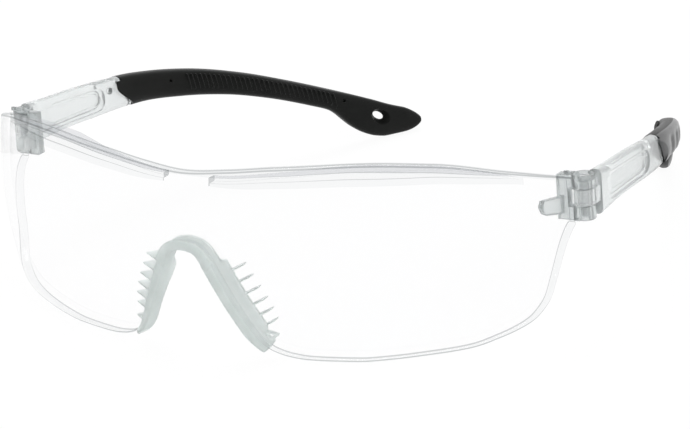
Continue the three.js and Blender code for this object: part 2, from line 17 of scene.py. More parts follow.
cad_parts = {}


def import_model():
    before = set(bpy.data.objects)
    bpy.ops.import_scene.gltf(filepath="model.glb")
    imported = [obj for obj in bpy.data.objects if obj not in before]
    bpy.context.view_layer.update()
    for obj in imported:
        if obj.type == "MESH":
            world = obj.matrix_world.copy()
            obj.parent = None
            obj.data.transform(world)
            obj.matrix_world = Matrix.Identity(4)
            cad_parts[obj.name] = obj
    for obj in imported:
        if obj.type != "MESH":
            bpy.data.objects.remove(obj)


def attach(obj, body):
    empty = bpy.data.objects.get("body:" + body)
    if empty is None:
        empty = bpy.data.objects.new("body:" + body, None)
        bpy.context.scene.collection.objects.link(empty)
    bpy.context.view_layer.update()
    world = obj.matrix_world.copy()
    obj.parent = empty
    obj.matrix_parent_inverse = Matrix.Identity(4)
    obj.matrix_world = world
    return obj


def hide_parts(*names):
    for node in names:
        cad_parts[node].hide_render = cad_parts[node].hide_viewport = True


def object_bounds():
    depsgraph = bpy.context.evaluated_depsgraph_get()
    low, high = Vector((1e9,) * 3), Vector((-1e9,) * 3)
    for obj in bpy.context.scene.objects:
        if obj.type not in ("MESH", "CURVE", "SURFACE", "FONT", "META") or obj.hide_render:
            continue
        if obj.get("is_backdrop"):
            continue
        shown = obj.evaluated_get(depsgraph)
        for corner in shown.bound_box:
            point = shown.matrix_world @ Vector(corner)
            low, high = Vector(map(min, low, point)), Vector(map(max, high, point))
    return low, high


Pair = tuple[float, float]
Triple = tuple[float, float, float]
Number = float | np.ndarray
Piece = bpy.types.Object
Material = bpy.types.Material
Socket = bpy.types.NodeSocket

LOG = logging.getLogger("safety_glasses")
MILLIMETRE = 0.001
TIP_DEGREES = -1.0704925
SHIFT = (0.0, -76.336335, 0.214918)
# Millimetres between pieces that touch on the real glasses.
GAP = 0.3

PLACE = (
    Matrix.Scale(MILLIMETRE, 4)
    @ Matrix.Translation(SHIFT)
    @ Matrix.Rotation(math.radians(TIP_DEGREES), 4, "X")
)


class Side(Enum):
    """The wearer's two sides, and the sign of x on each."""

    LEFT = 1
    RIGHT = -1

    @property
    def word(self) -> str:
        """The side as it stands in names."""
        return self.name.lower()

    @property
    def body(self) -> str:
        """The body that moves with this side's temple."""
        return f"temple_{self.word}"


class Join(Enum):
    """What a second solid does to the first."""

    ADD = "UNION"
    CUT = "DIFFERENCE"


# ---------------------------------------------------------------------------------------------------------------
# Curves and surfaces


class Profile:
    """Smooth curve through (place, value) pairs that never swings past a value."""

    def __init__(self, *pairs: Pair) -> None:
        """Works out the slopes at the pairs.

        Args:
            pairs: places in rising order, each with its value.
        """
        self.places = np.array([place for place, _ in pairs], float)
        self.values = np.array([value for _, value in pairs], float)
        rates = np.diff(self.values) / np.diff(self.places)
        self.slopes = np.zeros(len(pairs))
        self.slopes[-1] = rates[-1]
        for k in range(1, len(pairs) - 1):
            product = rates[k - 1] * rates[k]
            if product > 0:
                self.slopes[k] = 2 * product / (rates[k - 1] + rates[k])

    def at(self, place: Number) -> np.ndarray:
        """Values of the curve.

        Args:
            place: one place or an array of them.

        Returns:
            The value at each place.
        """
        place = np.asarray(place, float)
        i = np.clip(np.searchsorted(self.places, place, side="left") - 1, 0, len(self.places) - 2)
        span = self.places[i + 1] - self.places[i]
        w = np.clip((place - self.places[i]) / span, 0, 1)
        bend = w * w * (3 - 2 * w)
        pull = w * (1 - w) * span * ((1 - w) * self.slopes[i] - w * self.slopes[i + 1])
        return self.values[i] + (self.values[i + 1] - self.values[i]) * bend + pull


def smooth_step(value: Number, low: float, high: float) -> np.ndarray:
    """Smooth rise from 0 at low to 1 at high, read at one value or an array of them."""
    w = np.clip((np.asarray(value, float) - low) / (high - low), 0, 1)
    return w * w * (3 - 2 * w)


def rise(value: float, low: float, high: float) -> float:
    """Smooth rise from 0 at low to 1 at high, for one value."""
    return float(smooth_step(value, low, high))


def mix(a: Number, b: Number, share: Number) -> Number:
    """Value that lies a share of the way from a to b."""
    return a + (b - a) * share


def clamp(value: float) -> float:
    """Value held between 0 and 1."""
    return min(max(value, 0.0), 1.0)


def turns(count: int) -> np.ndarray:
    """Equally spaced angles once round."""
    return np.linspace(0, 2 * math.pi, count, endpoint=False)


def drawn_in(outline: np.ndarray, share: float) -> np.ndarray:
    """Outline drawn in to its own middle by a share."""
    middle = outline.mean(axis=0)
    return middle + (outline - middle) * (1 - share)


# Share of an edge that the rounding of one corner may take, and the least length that an edge counts for.
CORNER_SHARE = 0.48
LEAST_EDGE = 1e-9


def rounded(corners: Sequence[Pair], radii: Sequence[float], steps: int = 5) -> np.ndarray:
    """Closed outline with its corners rounded.

    Args:
        corners: the outline's corners in order.
        radii: reach of the rounding at each corner.
        steps: points that each corner becomes.

    Returns:
        Points of the rounded outline, in the corners' order.
    """
    points = np.asarray(corners, float)
    outline = []
    for k, corner in enumerate(points):
        before, after = points[k - 1] - corner, points[(k + 1) % len(points)] - corner
        start, end = (
            corner + edge / max(np.linalg.norm(edge), LEAST_EDGE)
            * min(radii[k], CORNER_SHARE * float(np.linalg.norm(edge)))
            for edge in (before, after)
        )
        for w in np.linspace(0, 1, steps):
            outline.append((1 - w) ** 2 * start + 2 * w * (1 - w) * corner + w * w * end)
    return np.array(outline)


@dataclass
class Skin:
    """Points in millimetres and the faces over them, with marks that pick the faces that get a copy of the material
    with painted shade or painted sheen.
    """

    # Face attribute that picks the copy of the material with painted shade or painted sheen.
    MARK: ClassVar[str] = "other_finish"
    WELD: ClassVar[float] = 0.0004
    points: np.ndarray
    faces: list[tuple[int, ...]]
    marks: list[int] = field(default_factory=list)

    @staticmethod
    def over(rings: Sequence[np.ndarray]) -> "Skin":
        """Closed skin over rings of equally many points.

        Args:
            rings: the rings in order; the first and the last are closed with a face.

        Returns:
            The skin, with its faces pointing out.
        """
        sides, count = len(rings[0]), len(rings)
        faces: list[tuple[int, ...]] = []
        for k in range(count - 1):
            for j in range(sides):
                a, b = k * sides + j, k * sides + (j + 1) % sides
                faces.append((a, b, b + sides, a + sides))
        faces.append(tuple(reversed(range(sides))))
        faces.append(tuple(range((count - 1) * sides, count * sides)))
        return Skin(np.concatenate([np.asarray(ring, float) for ring in rings]), faces).outward()

    @staticmethod
    def turned(profile: Sequence[Pair], x: float = 0.0, y: float = 0.0, sides: int = 64) -> "Skin":
        """Solid turned about an upright line.

        Args:
            profile: the radius and height of each ring.
            x: place of the line.
            y: place of the line.
            sides: faces round it.

        Returns:
            The solid's skin.
        """
        across, along = np.cos(turns(sides)), np.sin(turns(sides))
        return Skin.over(
            [np.column_stack([x + r * across, y + r * along, np.full(sides, height)]) for r, height in profile]
        )

    @staticmethod
    def block(x: Pair, y: Pair, z: Pair) -> "Skin":
        """Box between two ends on each axis."""
        ring = np.array([[x[0], y[0]], [x[1], y[0]], [x[1], y[1]], [x[0], y[1]]])
        return Skin.over([np.column_stack([ring, np.full(4, height)]) for height in z])

    def outward(self) -> "Skin":
        """Turns all faces out.

        Returns:
            The same skin.
        """
        volume = 0.0
        for face in self.faces:
            corner = self.points[face[0]]
            for b, c in zip(face[1:-1], face[2:]):
                volume += float(np.dot(corner, np.cross(self.points[b], self.points[c])))
        if volume < 0:
            self.faces = [tuple(reversed(face)) for face in self.faces]
        return self

    def to_object(self, name: str) -> Piece:
        """Makes an object of the skin, still in millimetres.

        Args:
            name: the object's name.

        Returns:
            The object, linked to the scene, with coinciding points merged.
        """
        mesh = bpy.data.meshes.new(name)
        mesh.from_pydata([tuple(point) for point in self.points], [], self.faces)
        if self.marks:
            mesh.attributes.new(self.MARK, "INT", "FACE").data.foreach_set("value", self.marks)
        mesh.validate()
        piece = linked(name, mesh)
        piece.modifiers.new("weld", "WELD").merge_threshold = self.WELD
        return Workshop.settle(piece)


def linked(name: str, data: bpy.types.ID) -> Piece:
    """New object in the scene.

    Args:
        name: its name.
        data: its mesh, lamp or camera.

    Returns:
        The object.
    """
    piece = bpy.data.objects.new(name, data)
    bpy.context.scene.collection.objects.link(piece)
    return piece


class Workshop:
    """Mesh work on objects that are still in millimetres."""

    @staticmethod
    def settle(piece: Piece) -> Piece:
        """Turns the piece's live modifiers into plain mesh.

        Args:
            piece: the object with modifiers.

        Returns:
            The same object, with none left.
        """
        bpy.context.view_layer.update()
        seen = piece.evaluated_get(bpy.context.evaluated_depsgraph_get())
        mesh = bpy.data.meshes.new_from_object(seen)
        old = piece.data
        piece.modifiers.clear()
        piece.data = mesh
        if isinstance(old, bpy.types.Mesh) and old.users == 0:
            bpy.data.meshes.remove(old)
        mesh.name = piece.name
        return piece

    @staticmethod
    def join(piece: Piece, other: Skin | Piece, how: Join) -> Piece:
        """Adds another solid to a piece, or cuts it away.

        Args:
            piece: the object that changes.
            other: the other solid, which is used up.
            how: whether it is added or cut away.

        Returns:
            The changed piece.
        """
        tool = other.to_object("tool") if isinstance(other, Skin) else other
        boolean = piece.modifiers.new("join", "BOOLEAN")
        boolean.operation = how.value
        boolean.solver = "EXACT"
        boolean.object = tool
        Workshop.settle(piece)
        Workshop.scrap(tool)
        return piece

    @staticmethod
    def scrap(piece: Piece) -> None:
        """Removes a helper object."""
        bpy.data.objects.remove(piece, do_unlink=True)

    @staticmethod
    def ease_edges(piece: Piece, width: float, angle: float) -> Piece:
        """Rounds the piece's sharp edges.

        Args:
            piece: the object to round.
            width: reach of the rounding in millimetres.
            angle: edges that turn more than this many degrees are rounded.

        Returns:
            The same object.
        """
        bevel = piece.modifiers.new("ease", "BEVEL")
        bevel.width = width
        bevel.segments = 2
        bevel.limit_method = "ANGLE"
        bevel.angle_limit = math.radians(angle)
        bevel.use_clamp_overlap = True
        bevel.miter_outer = "MITER_ARC"
        return Workshop.settle(piece)


class Nodes:
    """A node tree while it is being built."""

    def __init__(self, tree: bpy.types.NodeTree) -> None:
        """Empties the tree that gets the nodes."""
        self.tree = tree
        tree.nodes.clear()

    def add(self, kind: str, inputs: Mapping[int | str, object] | None = None, **settings: object) -> bpy.types.Node:
        """Adds a node.

        Args:
            kind: the node's type.
            inputs: its sockets by name or place, each with a value or with the socket that feeds it.
            settings: the node's own properties.

        Returns:
            The node.
        """
        node = self.tree.nodes.new(kind)
        for word, value in settings.items():
            setattr(node, word, value)
        for key, value in (inputs or {}).items():
            if isinstance(value, Socket):
                self.tree.links.new(value, node.inputs[key])
            else:
                node.inputs[key].default_value = value
        return node

    def colors(self, source: Socket, places: Pair, low: Triple, high: Triple) -> Socket:
        """Spreads a pattern between two colours.

        Args:
            source: the pattern's socket.
            places: values of the pattern at which the first colour ends and the second one is reached.
            low: colour where the pattern is weak.
            high: colour where it is strong.

        Returns:
            The socket with the colours.
        """
        ramp = self.add("ShaderNodeValToRGB", {"Fac": source})
        for element, place, color in zip(ramp.color_ramp.elements, places, (low, high)):
            element.position = place
            element.color = (*color, 1.0)
        return ramp.outputs["Color"]


class Row:
    """Geometry Nodes tree that sets copies of one small piece at marked points."""

    TURN = "turn"
    SIZE = "size"

    def __init__(self, name: str) -> None:
        """Builds the tree.

        Args:
            name: the tree's name.
        """
        self.tree = bpy.data.node_groups.new(name, "GeometryNodeTree")
        socket = self.tree.interface.new_socket
        socket(name="Geometry", in_out="OUTPUT", socket_type="NodeSocketGeometry")
        socket(name="Geometry", in_out="INPUT", socket_type="NodeSocketGeometry")
        self.piece = socket(name="Piece", in_out="INPUT", socket_type="NodeSocketObject")
        self.finish = socket(name="Finish", in_out="INPUT", socket_type="NodeSocketMaterial")
        nodes = Nodes(self.tree)
        start = nodes.add("NodeGroupInput").outputs
        turn, size = (
            nodes.add("GeometryNodeInputNamedAttribute", {"Name": word}, data_type="FLOAT_VECTOR").outputs["Attribute"]
            for word in (self.TURN, self.SIZE)
        )
        shape = nodes.add("GeometryNodeObjectInfo", {"Object": start["Piece"]}).outputs["Geometry"]
        spin = nodes.add("FunctionNodeEulerToRotation", {0: turn}).outputs[0]
        points = {"Points": start["Geometry"], "Instance": shape, "Rotation": spin, "Scale": size}
        copies = nodes.add("GeometryNodeInstanceOnPoints", points).outputs[0]
        real = nodes.add("GeometryNodeRealizeInstances", {0: copies}).outputs[0]
        paint = nodes.add("GeometryNodeSetMaterial", {"Geometry": real, "Material": start["Finish"]}).outputs[0]
        nodes.add("NodeGroupOutput", {"Geometry": paint})

    def along(
        self, name: str, shape: Skin, frames: Sequence[Matrix], sizes: Sequence[Vector], finish: Material
    ) -> Piece:
        """Sets a copy of the shape at each frame.

        Args:
            name: the new object's name.
            shape: the small piece, about its own origin.
            frames: where each copy goes and how it is turned.
            sizes: the scale of each copy on its own axes.
            finish: the material of the copies.

        Returns:
            One object that holds all the copies as plain mesh, in millimetres.
        """
        mesh = bpy.data.meshes.new(name)
        mesh.from_pydata([tuple(frame.translation) for frame in frames], [], [])
        for word, values in ((self.TURN, [frame.to_euler() for frame in frames]), (self.SIZE, sizes)):
            attribute = mesh.attributes.new(word, "FLOAT_VECTOR", "POINT")
            attribute.data.foreach_set("vector", np.array([tuple(v) for v in values], np.float32).ravel())
        row = linked(name, mesh)
        model = shape.to_object(f"{name}_shape")
        modifier = row.modifiers.new("row", "NODES")
        modifier.node_group = self.tree
        modifier[self.piece.identifier] = model
        modifier[self.finish.identifier] = finish
        Workshop.settle(row)
        Workshop.scrap(model)
        return row


def frame_of(x: np.ndarray, y: np.ndarray, z: np.ndarray, place: np.ndarray) -> Matrix:
    """Frame with the given axes at a place.

    Args:
        x: direction of its first axis.
        y: direction of its second axis.
        z: direction of its third axis.
        place: its origin.

    Returns:
        The frame as a matrix.
    """
    turned = Matrix((x, y, z)).transposed().to_4x4()
    turned.translation = Vector(place)
    return turned


# ---------------------------------------------------------------------------------------------------------------
# Finishes


class Shader(Nodes):
    """A material's node tree while it is being built."""

    PATTERN: ClassVar[Pair] = (0.3, 0.7)

    def __init__(self, name: str) -> None:
        """Starts an empty material.

        Args:
            name: the material's name.
        """
        self.material = bpy.data.materials.new(name)
        self.material.use_nodes = True
        super().__init__(self.material.node_tree)
        self.output = self.add("ShaderNodeOutputMaterial")
        self.place = self.add("ShaderNodeTexCoord").outputs["Object"]

    def principled(self, **values: float | tuple[float, ...]) -> bpy.types.Node:
        """Adds the main shader and sets its sockets.

        Args:
            values: socket names, with _ for a space, and their values.

        Returns:
            The shader's node.
        """
        node = self.add("ShaderNodeBsdfPrincipled", {word.replace("_", " "): value for word, value in values.items()})
        self.tree.links.new(node.outputs[0], self.output.inputs["Surface"])
        return node

    def feed(self, node: bpy.types.Node, **sockets: Socket) -> None:
        """Links patterns to a shader's sockets, named with _ for a space."""
        for word, socket in sockets.items():
            self.tree.links.new(socket, node.inputs[word.replace("_", " ")])

    def noise(self, per_metre: float, detail: float = 3.0, stretch: Triple | None = None) -> Socket:
        """Cloudy pattern fixed to the object.

        Args:
            per_metre: how fine it is.
            detail: how many finer layers it has.
            stretch: scale of the pattern on each axis, where it isn't even.

        Returns:
            The socket with its strength.
        """
        source = self.place
        if stretch is not None:
            source = self.add("ShaderNodeMapping", {"Vector": source, "Scale": stretch}).outputs[0]
        return self.add("ShaderNodeTexNoise", {"Vector": source, "Scale": per_metre, "Detail": detail}).outputs[0]

    def between(self, source: Socket, low: float, high: float) -> Socket:
        """Spreads a pattern between two values.

        Args:
            source: the pattern's socket.
            low: value where the pattern is weak.
            high: value where it is strong.

        Returns:
            The socket with the spread values.
        """
        weak, strong = self.PATTERN
        spread = {"Value": source, "From Min": weak, "From Max": strong, "To Min": low, "To Max": high}
        return self.add("ShaderNodeMapRange", spread).outputs[0]

    def bump(self, height: Socket, strength: float, reach: float) -> Socket:
        """Normal of a relief with the given pattern, strength, and reach in metres."""
        return self.add("ShaderNodeBump", {"Height": height, "Strength": strength, "Distance": reach}).outputs[0]

    def soak(self, color: Triple, density: float) -> None:
        """Tints the light on its way through the piece: the colour that is left, and how fast it goes, per metre."""
        node = self.add("ShaderNodeVolumeAbsorption", {"Color": (*color, 1.0), "Density": density})
        self.tree.links.new(node.outputs[0], self.output.inputs["Volume"])


@dataclass(frozen=True)
class ClearPlastic:
    """Hard clear plastic, polished or lightly veiled.

    Its soak is a colour and a density per metre, its ripple a strength and a fineness per metre.
    """

    name: str
    tint: Triple
    roughness: Pair
    ior: float = 1.0
    clarity: float = 1.0
    coat: float = 0.3
    soak: tuple[Triple, float] | None = None
    ripple: Pair | None = None
    coat_roughness: float = 0.02
    veil_grain: float = 900.0
    ripple_detail: float = 2.0
    ripple_height: float = 0.0004

    def build(self) -> Material:
        """Makes the material.

        Returns:
            The new material.
        """
        shader = Shader(self.name)
        node = shader.principled(
            Base_Color=(*self.tint, 1.0), Transmission_Weight=self.clarity, IOR=self.ior, Roughness=self.roughness[0],
            Coat_Weight=self.coat, Coat_Roughness=self.coat_roughness,
        )
        shader.feed(node, Roughness=shader.between(shader.noise(self.veil_grain), *self.roughness))
        if self.ripple is not None:
            strength, grain = self.ripple
            ripple = shader.noise(grain, self.ripple_detail)
            shader.feed(node, Normal=shader.bump(ripple, strength, self.ripple_height))
        if self.soak is not None:
            shader.soak(*self.soak)
        return shader.material


@dataclass(frozen=True)
class SoftClear:
    """Milky soft rubber of the nose piece. Its cloud and skin are patterns: fineness per metre and finer layers."""

    name: str
    light: Triple
    dark: Triple
    transmission: float
    roughness: Pair
    soak: tuple[Triple, float]
    ior: float = 1.28
    shine: float = 0.4
    cloud: Pair = (350.0, 4.0)
    skin: Pair = (2600.0, 3.0)
    relief: Pair = (0.12, 0.0002)

    def build(self) -> Material:
        """Makes the material.

        Returns:
            The new material.
        """
        shader = Shader(self.name)
        node = shader.principled(Transmission_Weight=self.transmission, IOR=self.ior, Specular_IOR_Level=self.shine)
        cloud = shader.noise(*self.cloud)
        shader.feed(
            node, Base_Color=shader.colors(cloud, shader.PATTERN, self.dark, self.light),
            Roughness=shader.between(cloud, *self.roughness),
            Normal=shader.bump(shader.noise(*self.skin), *self.relief),
        )
        shader.soak(*self.soak)
        return shader.material


@dataclass(frozen=True)
class DarkRubber:
    """Matt dark soft-touch rubber with a fine moulded grain, its patterns given as in SoftClear."""

    name: str
    low: Triple
    high: Triple
    roughness: Pair
    shine: float
    sheen: float
    sheen_roughness: float = 0.35
    ior: float = 1.5
    cloud: Pair = (120.0, 5.0)
    skin: Pair = (5200.0, 2.0)
    relief: Pair = (0.25, 0.0001)

    def build(self) -> Material:
        """Makes the material.

        Returns:
            The new material.
        """
        shader = Shader(self.name)
        node = shader.principled(
            Specular_IOR_Level=self.shine, IOR=self.ior, Sheen_Weight=self.sheen, Sheen_Roughness=self.sheen_roughness
        )
        cloud = shader.noise(*self.cloud)
        shader.feed(
            node, Base_Color=shader.colors(cloud, shader.PATTERN, self.low, self.high),
            Roughness=shader.between(cloud, *self.roughness),
            Normal=shader.bump(shader.noise(*self.skin), *self.relief),
        )
        return shader.material


@dataclass(frozen=True)
class Steel:
    """Bright turned steel of the screws."""

    name: str
    color: Triple
    roughness: Pair
    marks: Pair = (9000.0, 2.0)
    mark_stretch: Triple = (0.2, 0.2, 1.0)
    relief: Pair = (0.15, 0.00005)

    def build(self) -> Material:
        """Makes the material.

        Returns:
            The new material.
        """
        shader = Shader(self.name)
        node = shader.principled(Base_Color=(*self.color, 1.0), Metallic=1.0)
        marks = shader.noise(*self.marks, self.mark_stretch)
        shader.feed(node, Roughness=shader.between(marks, *self.roughness), Normal=shader.bump(marks, *self.relief))
        return shader.material


class Finish(Enum):
    """The finishes of the glasses, with copies of the lens plastic and the rubber that carry painted shade or painted
    sheen.
    """

    CLEAR_LENS = ClearPlastic("clear_lens", (0.985, 0.985, 0.987), (0.0, 0.015), coat=0.6)
    # Copies of the clear lens plastic tinted grey. They are painted shade: grey on the rim and brow ledges, darker on
    # the ledge tops, and dark along the edge lines, where refraction would darken the lens.
    CLEAR_BROW = ClearPlastic("clear_brow", (0.86, 0.87, 0.875), (0.01, 0.03))
    CLEAR_EDGE = ClearPlastic("clear_edge", (0.4, 0.415, 0.42), (0.01, 0.03))
    CLEAR_TOP = ClearPlastic("clear_top", (0.72, 0.72, 0.75), (0.01, 0.03))
    CLEAR_TEMPLE = ClearPlastic(
        "clear_temple", (0.88, 0.9, 0.9), (0.14, 0.23), 1.55, 0.78, 0.0, ((0.72, 0.79, 0.78), 22.0), (0.08, 90.0)
    )
    CLEAR_HINGE = ClearPlastic(
        "clear_hinge", (0.76, 0.785, 0.785), (0.1, 0.2), 1.5, 0.8, 0.0, ((0.6, 0.68, 0.67), 60.0), (0.1, 90.0)
    )
    SOFT_CLEAR = SoftClear(
        "soft_clear", (0.85, 0.885, 0.875), (0.77, 0.815, 0.8), 0.68, (0.32, 0.45), ((0.7, 0.8, 0.77), 30.0)
    )
    DARK_RUBBER = DarkRubber("dark_rubber", (0.0032, 0.0036, 0.0032), (0.006, 0.0064, 0.0058), (0.34, 0.5), 0.12, 0.12)
    # Copy of the dark rubber for the sleeve's outer face. Its lighter base colour is painted sheen where light catches
    # that face, and its shine and sheen are also stronger.
    WORN_RUBBER = DarkRubber("worn_rubber", (0.012, 0.0125, 0.013), (0.02, 0.021, 0.022), (0.3, 0.42), 0.5, 0.4)
    STEEL = Steel("screw_steel", (0.72, 0.73, 0.74), (0.2, 0.4))


class Palette:
    """Materials made so far, one for each finish."""

    made: dict[Finish, Material] = {}

    @classmethod
    def of(cls, finish: Finish) -> Material:
        """The material of a finish, made when first asked for.

        Args:
            finish: the finish.

        Returns:
            Its material.
        """
        if finish not in cls.made:
            cls.made[finish] = finish.value.build()
        return cls.made[finish]


# ---------------------------------------------------------------------------------------------------------------
# Sub-assemblies


@dataclass(frozen=True)
class LensForm:
    """Form of the lens: half an ellipse in plan, crowned in height."""

    half_width: float = 72.0
    wrap_depth: float = 42.6
    crown_radius: float = 90.0
    thickness: float = 2.1
    height: float = 44.2
    widest: float = 25.592
    end_angle: float = 1.541
    upper_shares: Profile = Profile(
        (0, 0.93), (0.1, 0.95), (0.2, 0.975), (0.4, 1), (0.55, 0.983), (0.75, 0.908), (1, 0.799)
    )
    lower_shares: Profile = Profile(
        (0, 0.57), (0.0207, 0.563), (0.0361, 0.543), (0.0487, 0.505), (0.0605, 0.452), (0.0695, 0.407),
        (0.0786, 0.362), (0.0923, 0.294), (0.106, 0.231), (0.1169, 0.181), (0.127, 0.136), (0.1389, 0.0905),
        (0.1519, 0.061), (0.1696, 0.036), (0.1995, 0.0136), (0.236, 0.002), (0.265, 0), (0.35, 0),
        (0.42, 0.011), (0.5, 0.027), (0.63, 0.05), (0.7, 0.079), (0.77, 0.111), (0.82, 0.1425),
        (0.855, 0.1855), (0.877, 0.226), (0.9, 0.321), (0.917, 0.391), (0.934, 0.45), (0.954, 0.5),
        (0.976, 0.536), (1, 0.561),
    )

    def point(self, angle: Number, height: Number, depth: Number) -> np.ndarray:
        """Points of the lens.

        Args:
            angle: plan angle from the middle, positive on the wearer's left.
            height: height of the point.
            depth: how far it lies behind the front face.

        Returns:
            The points, with x, y and z last.
        """
        angle, height, depth = np.broadcast_arrays(*(np.asarray(value, float) for value in (angle, height, depth)))
        inward_x, inward_y = -self.wrap_depth * np.sin(angle), self.half_width * np.cos(angle)
        length = np.hypot(inward_x, inward_y)
        back = self.crown_radius - np.sqrt(self.crown_radius**2 - (height - self.widest) ** 2) + depth
        x = self.half_width * np.sin(angle) + inward_x / length * back
        y = self.wrap_depth * (1 - np.cos(angle)) + inward_y / length * back
        return np.stack([x, y, height], axis=-1)

    def upper(self, angle: Number) -> np.ndarray:
        """Height of the upper edge at a plan angle."""
        return self.height * self.upper_shares.at(np.abs(angle) / self.end_angle)

    def lower(self, angle: Number) -> np.ndarray:
        """Height of the lower edge at a plan angle."""
        return self.height * self.lower_shares.at(np.abs(angle) / self.end_angle)


FORM = LensForm()


class LensFace(IntEnum):
    """Tints of the lens's faces, in the order of its materials: BROW, LINE and LEDGE_TOP are painted shade, and PLAIN
    is the clear lens.
    """

    PLAIN = 0
    BROW = 1
    LINE = 2
    LEDGE_TOP = 3


@dataclass
class Lens:
    """One-piece lens with its rounded rim and the two brow ledges behind its upper edge."""

    rim: float = 0.55
    columns: int = 190
    rows: int = 30
    arc: int = 6
    above_ledge: int = 4
    ledge_gap: float = 5.8
    ledge_end: float = 0.811 * FORM.end_angle
    ledge_rise: float = 0.0035
    ledge_depth: float = 8.0
    ledge_sink: float = 0.5
    ledge_round: float = 0.3
    ledge_under_edge: float = 1.3
    ledge_least: float = 0.45
    bridge_half_width: float = 5.0
    bridge_rise: float = 0.07
    bridge_fade: Pair = (-0.5, 0.5)
    bridge_start: Pair = (1.2, 2.6)
    column_crowding: float = 1.3
    ledge_columns: tuple[float, float, int] = (-0.001, 0.0045, 10)
    bridge_columns: tuple[float, float, int] = (-0.006, 0.006, 8)
    depth_shares: Profile = Profile(
        (0, 0.33), (0.2, 0.5), (0.35, 0.7), (0.45, 0.8), (0.66, 0.8), (0.82, 0.62), (1, 0)
    )
    high_shares: Profile = Profile((0, 0.896), (0.2, 0.924), (0.42, 0.949), (0.62, 0.937), (0.82, 0.9), (1, 0.858))
    low_shares: Profile = Profile((0, 0.869), (0.2, 0.897), (0.42, 0.916), (0.62, 0.914), (0.82, 0.886), (1, 0.846))
    strips: tuple[float, ...] = (0.04, 0.13, 0.4, 0.7, 1.0)
    cut_out_angle: float = 0.24

    @property
    def ledge_start(self) -> float:
        """Plan angle at which the ledges start."""
        return math.asin(self.ledge_gap / FORM.half_width)

    def ledge(self, angle: float) -> Triple:
        """Brow ledge at a plan angle.

        Args:
            angle: plan angle, whose sign doesn't matter.

        Returns:
            The heights of its under and upper side, and how far it stands out behind the lens.
        """
        start = self.ledge_start
        share = (abs(angle) - start) / (self.ledge_end - start)
        clipped = clamp(share)
        high = min(FORM.height * float(self.high_shares.at(clipped)), float(FORM.upper(angle)) - self.ledge_under_edge)
        low = min(FORM.height * float(self.low_shares.at(clipped)), high - self.ledge_least)
        reach = self.ledge_depth * float(self.depth_shares.at(clipped)) - self.ledge_sink
        shown = rise(abs(angle), start, start + self.ledge_rise) * (share < 1)
        return low, high, max(reach, 0.0) * shown

    def ring(self, angle: float, inset: float = 0.0) -> np.ndarray:
        """Outline of the lens's section at a plan angle.

        Args:
            angle: the plan angle.
            inset: how far the outline is drawn in, for the rounding of the ends.

        Returns:
            The outline's points: up the front, over the rim, down the back round the ledge, and under the rim.
        """
        edge = float(FORM.lower(angle))
        bottom, top = edge + inset, float(FORM.upper(angle)) - inset
        r = max(self.rim - inset, 0.0)
        near, far = inset, FORM.thickness - inset
        low, high, reach = self.ledge(angle)
        tip = min(self.ledge_round, 0.45 * (high - low), reach)
        x = abs(FORM.half_width * math.sin(angle))
        bridge = self.bridge_rise * (1 - rise(x, *(self.bridge_half_width + side for side in self.bridge_fade)))
        spread = np.linspace(0, 1, self.rows)
        arc = np.linspace(0, math.pi / 2, self.arc)
        sine, cosine = np.sin(arc), np.cos(arc)
        shelf = far + (reach - tip) * np.array(self.strips)
        under = mix(low, bottom + r, spread)[1:]
        above = mix(top - r, high, np.linspace(0, 1, self.above_ledge + 1)[1:])
        parts = [
            (mix(bottom + r, top - r, spread), np.full(self.rows, near)),
            (top - r + r * sine, near + r - r * cosine),
            (top - r + r * cosine, far - r + r * sine),
            (above, np.full(self.above_ledge, far)),
            (np.full(len(shelf), high), shelf),
            (high - tip + tip * cosine, far + reach - tip + tip * sine),
            (low + tip - tip * sine, far + reach - tip + tip * cosine),
            (np.full(len(shelf), low), shelf[::-1]),
            (under, far + bridge * smooth_step(under, *(edge + height for height in self.bridge_start))),
            (bottom + r - r * sine, far - r + r * cosine),
            (bottom + r - r * cosine, near + r - r * sine),
        ]
        return FORM.point(angle, *(np.concatenate(values) for values in zip(*parts)))

    def angles(self) -> np.ndarray:
        """Plan angles of the sections.

        Returns:
            The angles, from the wearer's right to the wearer's left.
        """
        end = FORM.end_angle - self.rim / FORM.wrap_depth
        half = [end * np.linspace(0, 1, self.columns + 1) ** self.column_crowding]
        bridge = math.asin(self.bridge_half_width / FORM.half_width)
        for place, (before, after, count) in ((self.ledge_start, self.ledge_columns), (bridge, self.bridge_columns)):
            half.append(np.linspace(place + before, place + after, count))
        unique = np.unique(np.round(np.concatenate(half), 5))
        return np.concatenate([-unique[:0:-1], unique])

    def face(self, angle: float, inset: float, place: int, sides: int) -> LensFace:
        """Tint of one face of the skin: plain, or painted shade.

        Args:
            angle: plan angle of the section that it starts at.
            inset: how far that section is drawn in.
            place: its place round the section.
            sides: faces round the section.

        Returns:
            The tint.
        """
        angle, arc, strips = abs(angle), self.arc, len(self.strips)
        on_ledges = self.ledge_start < angle < self.ledge_end
        first = self.rows + 2 * arc + self.above_ledge
        last = first + 2 * (strips + arc)
        lower_rim = sides - 2 * arc
        lines = {self.rows, self.rows + 1, self.rows + 2 * arc - 3, self.rows + 2 * arc - 2}
        if angle > self.cut_out_angle:
            lines |= {lower_rim, lower_rim + 1, sides - 3, sides - 2}
        if on_ledges:
            lines |= {first, first + strips, first + strips + 1, last - strips - 2, last - strips - 1, last - 2}
        ledge = on_ledges and first <= place < last
        blunt_end = ledge and angle < self.ledge_start + self.ledge_rise
        if 0.5 * self.rim < inset < 0.8 * self.rim or place in lines or blunt_end:
            return LensFace.LINE
        if on_ledges and first < place < first + strips:
            return LensFace.LEDGE_TOP
        if inset > 0 or self.rows <= place < first or place >= lower_rim or ledge:
            return LensFace.BROW
        return LensFace.PLAIN

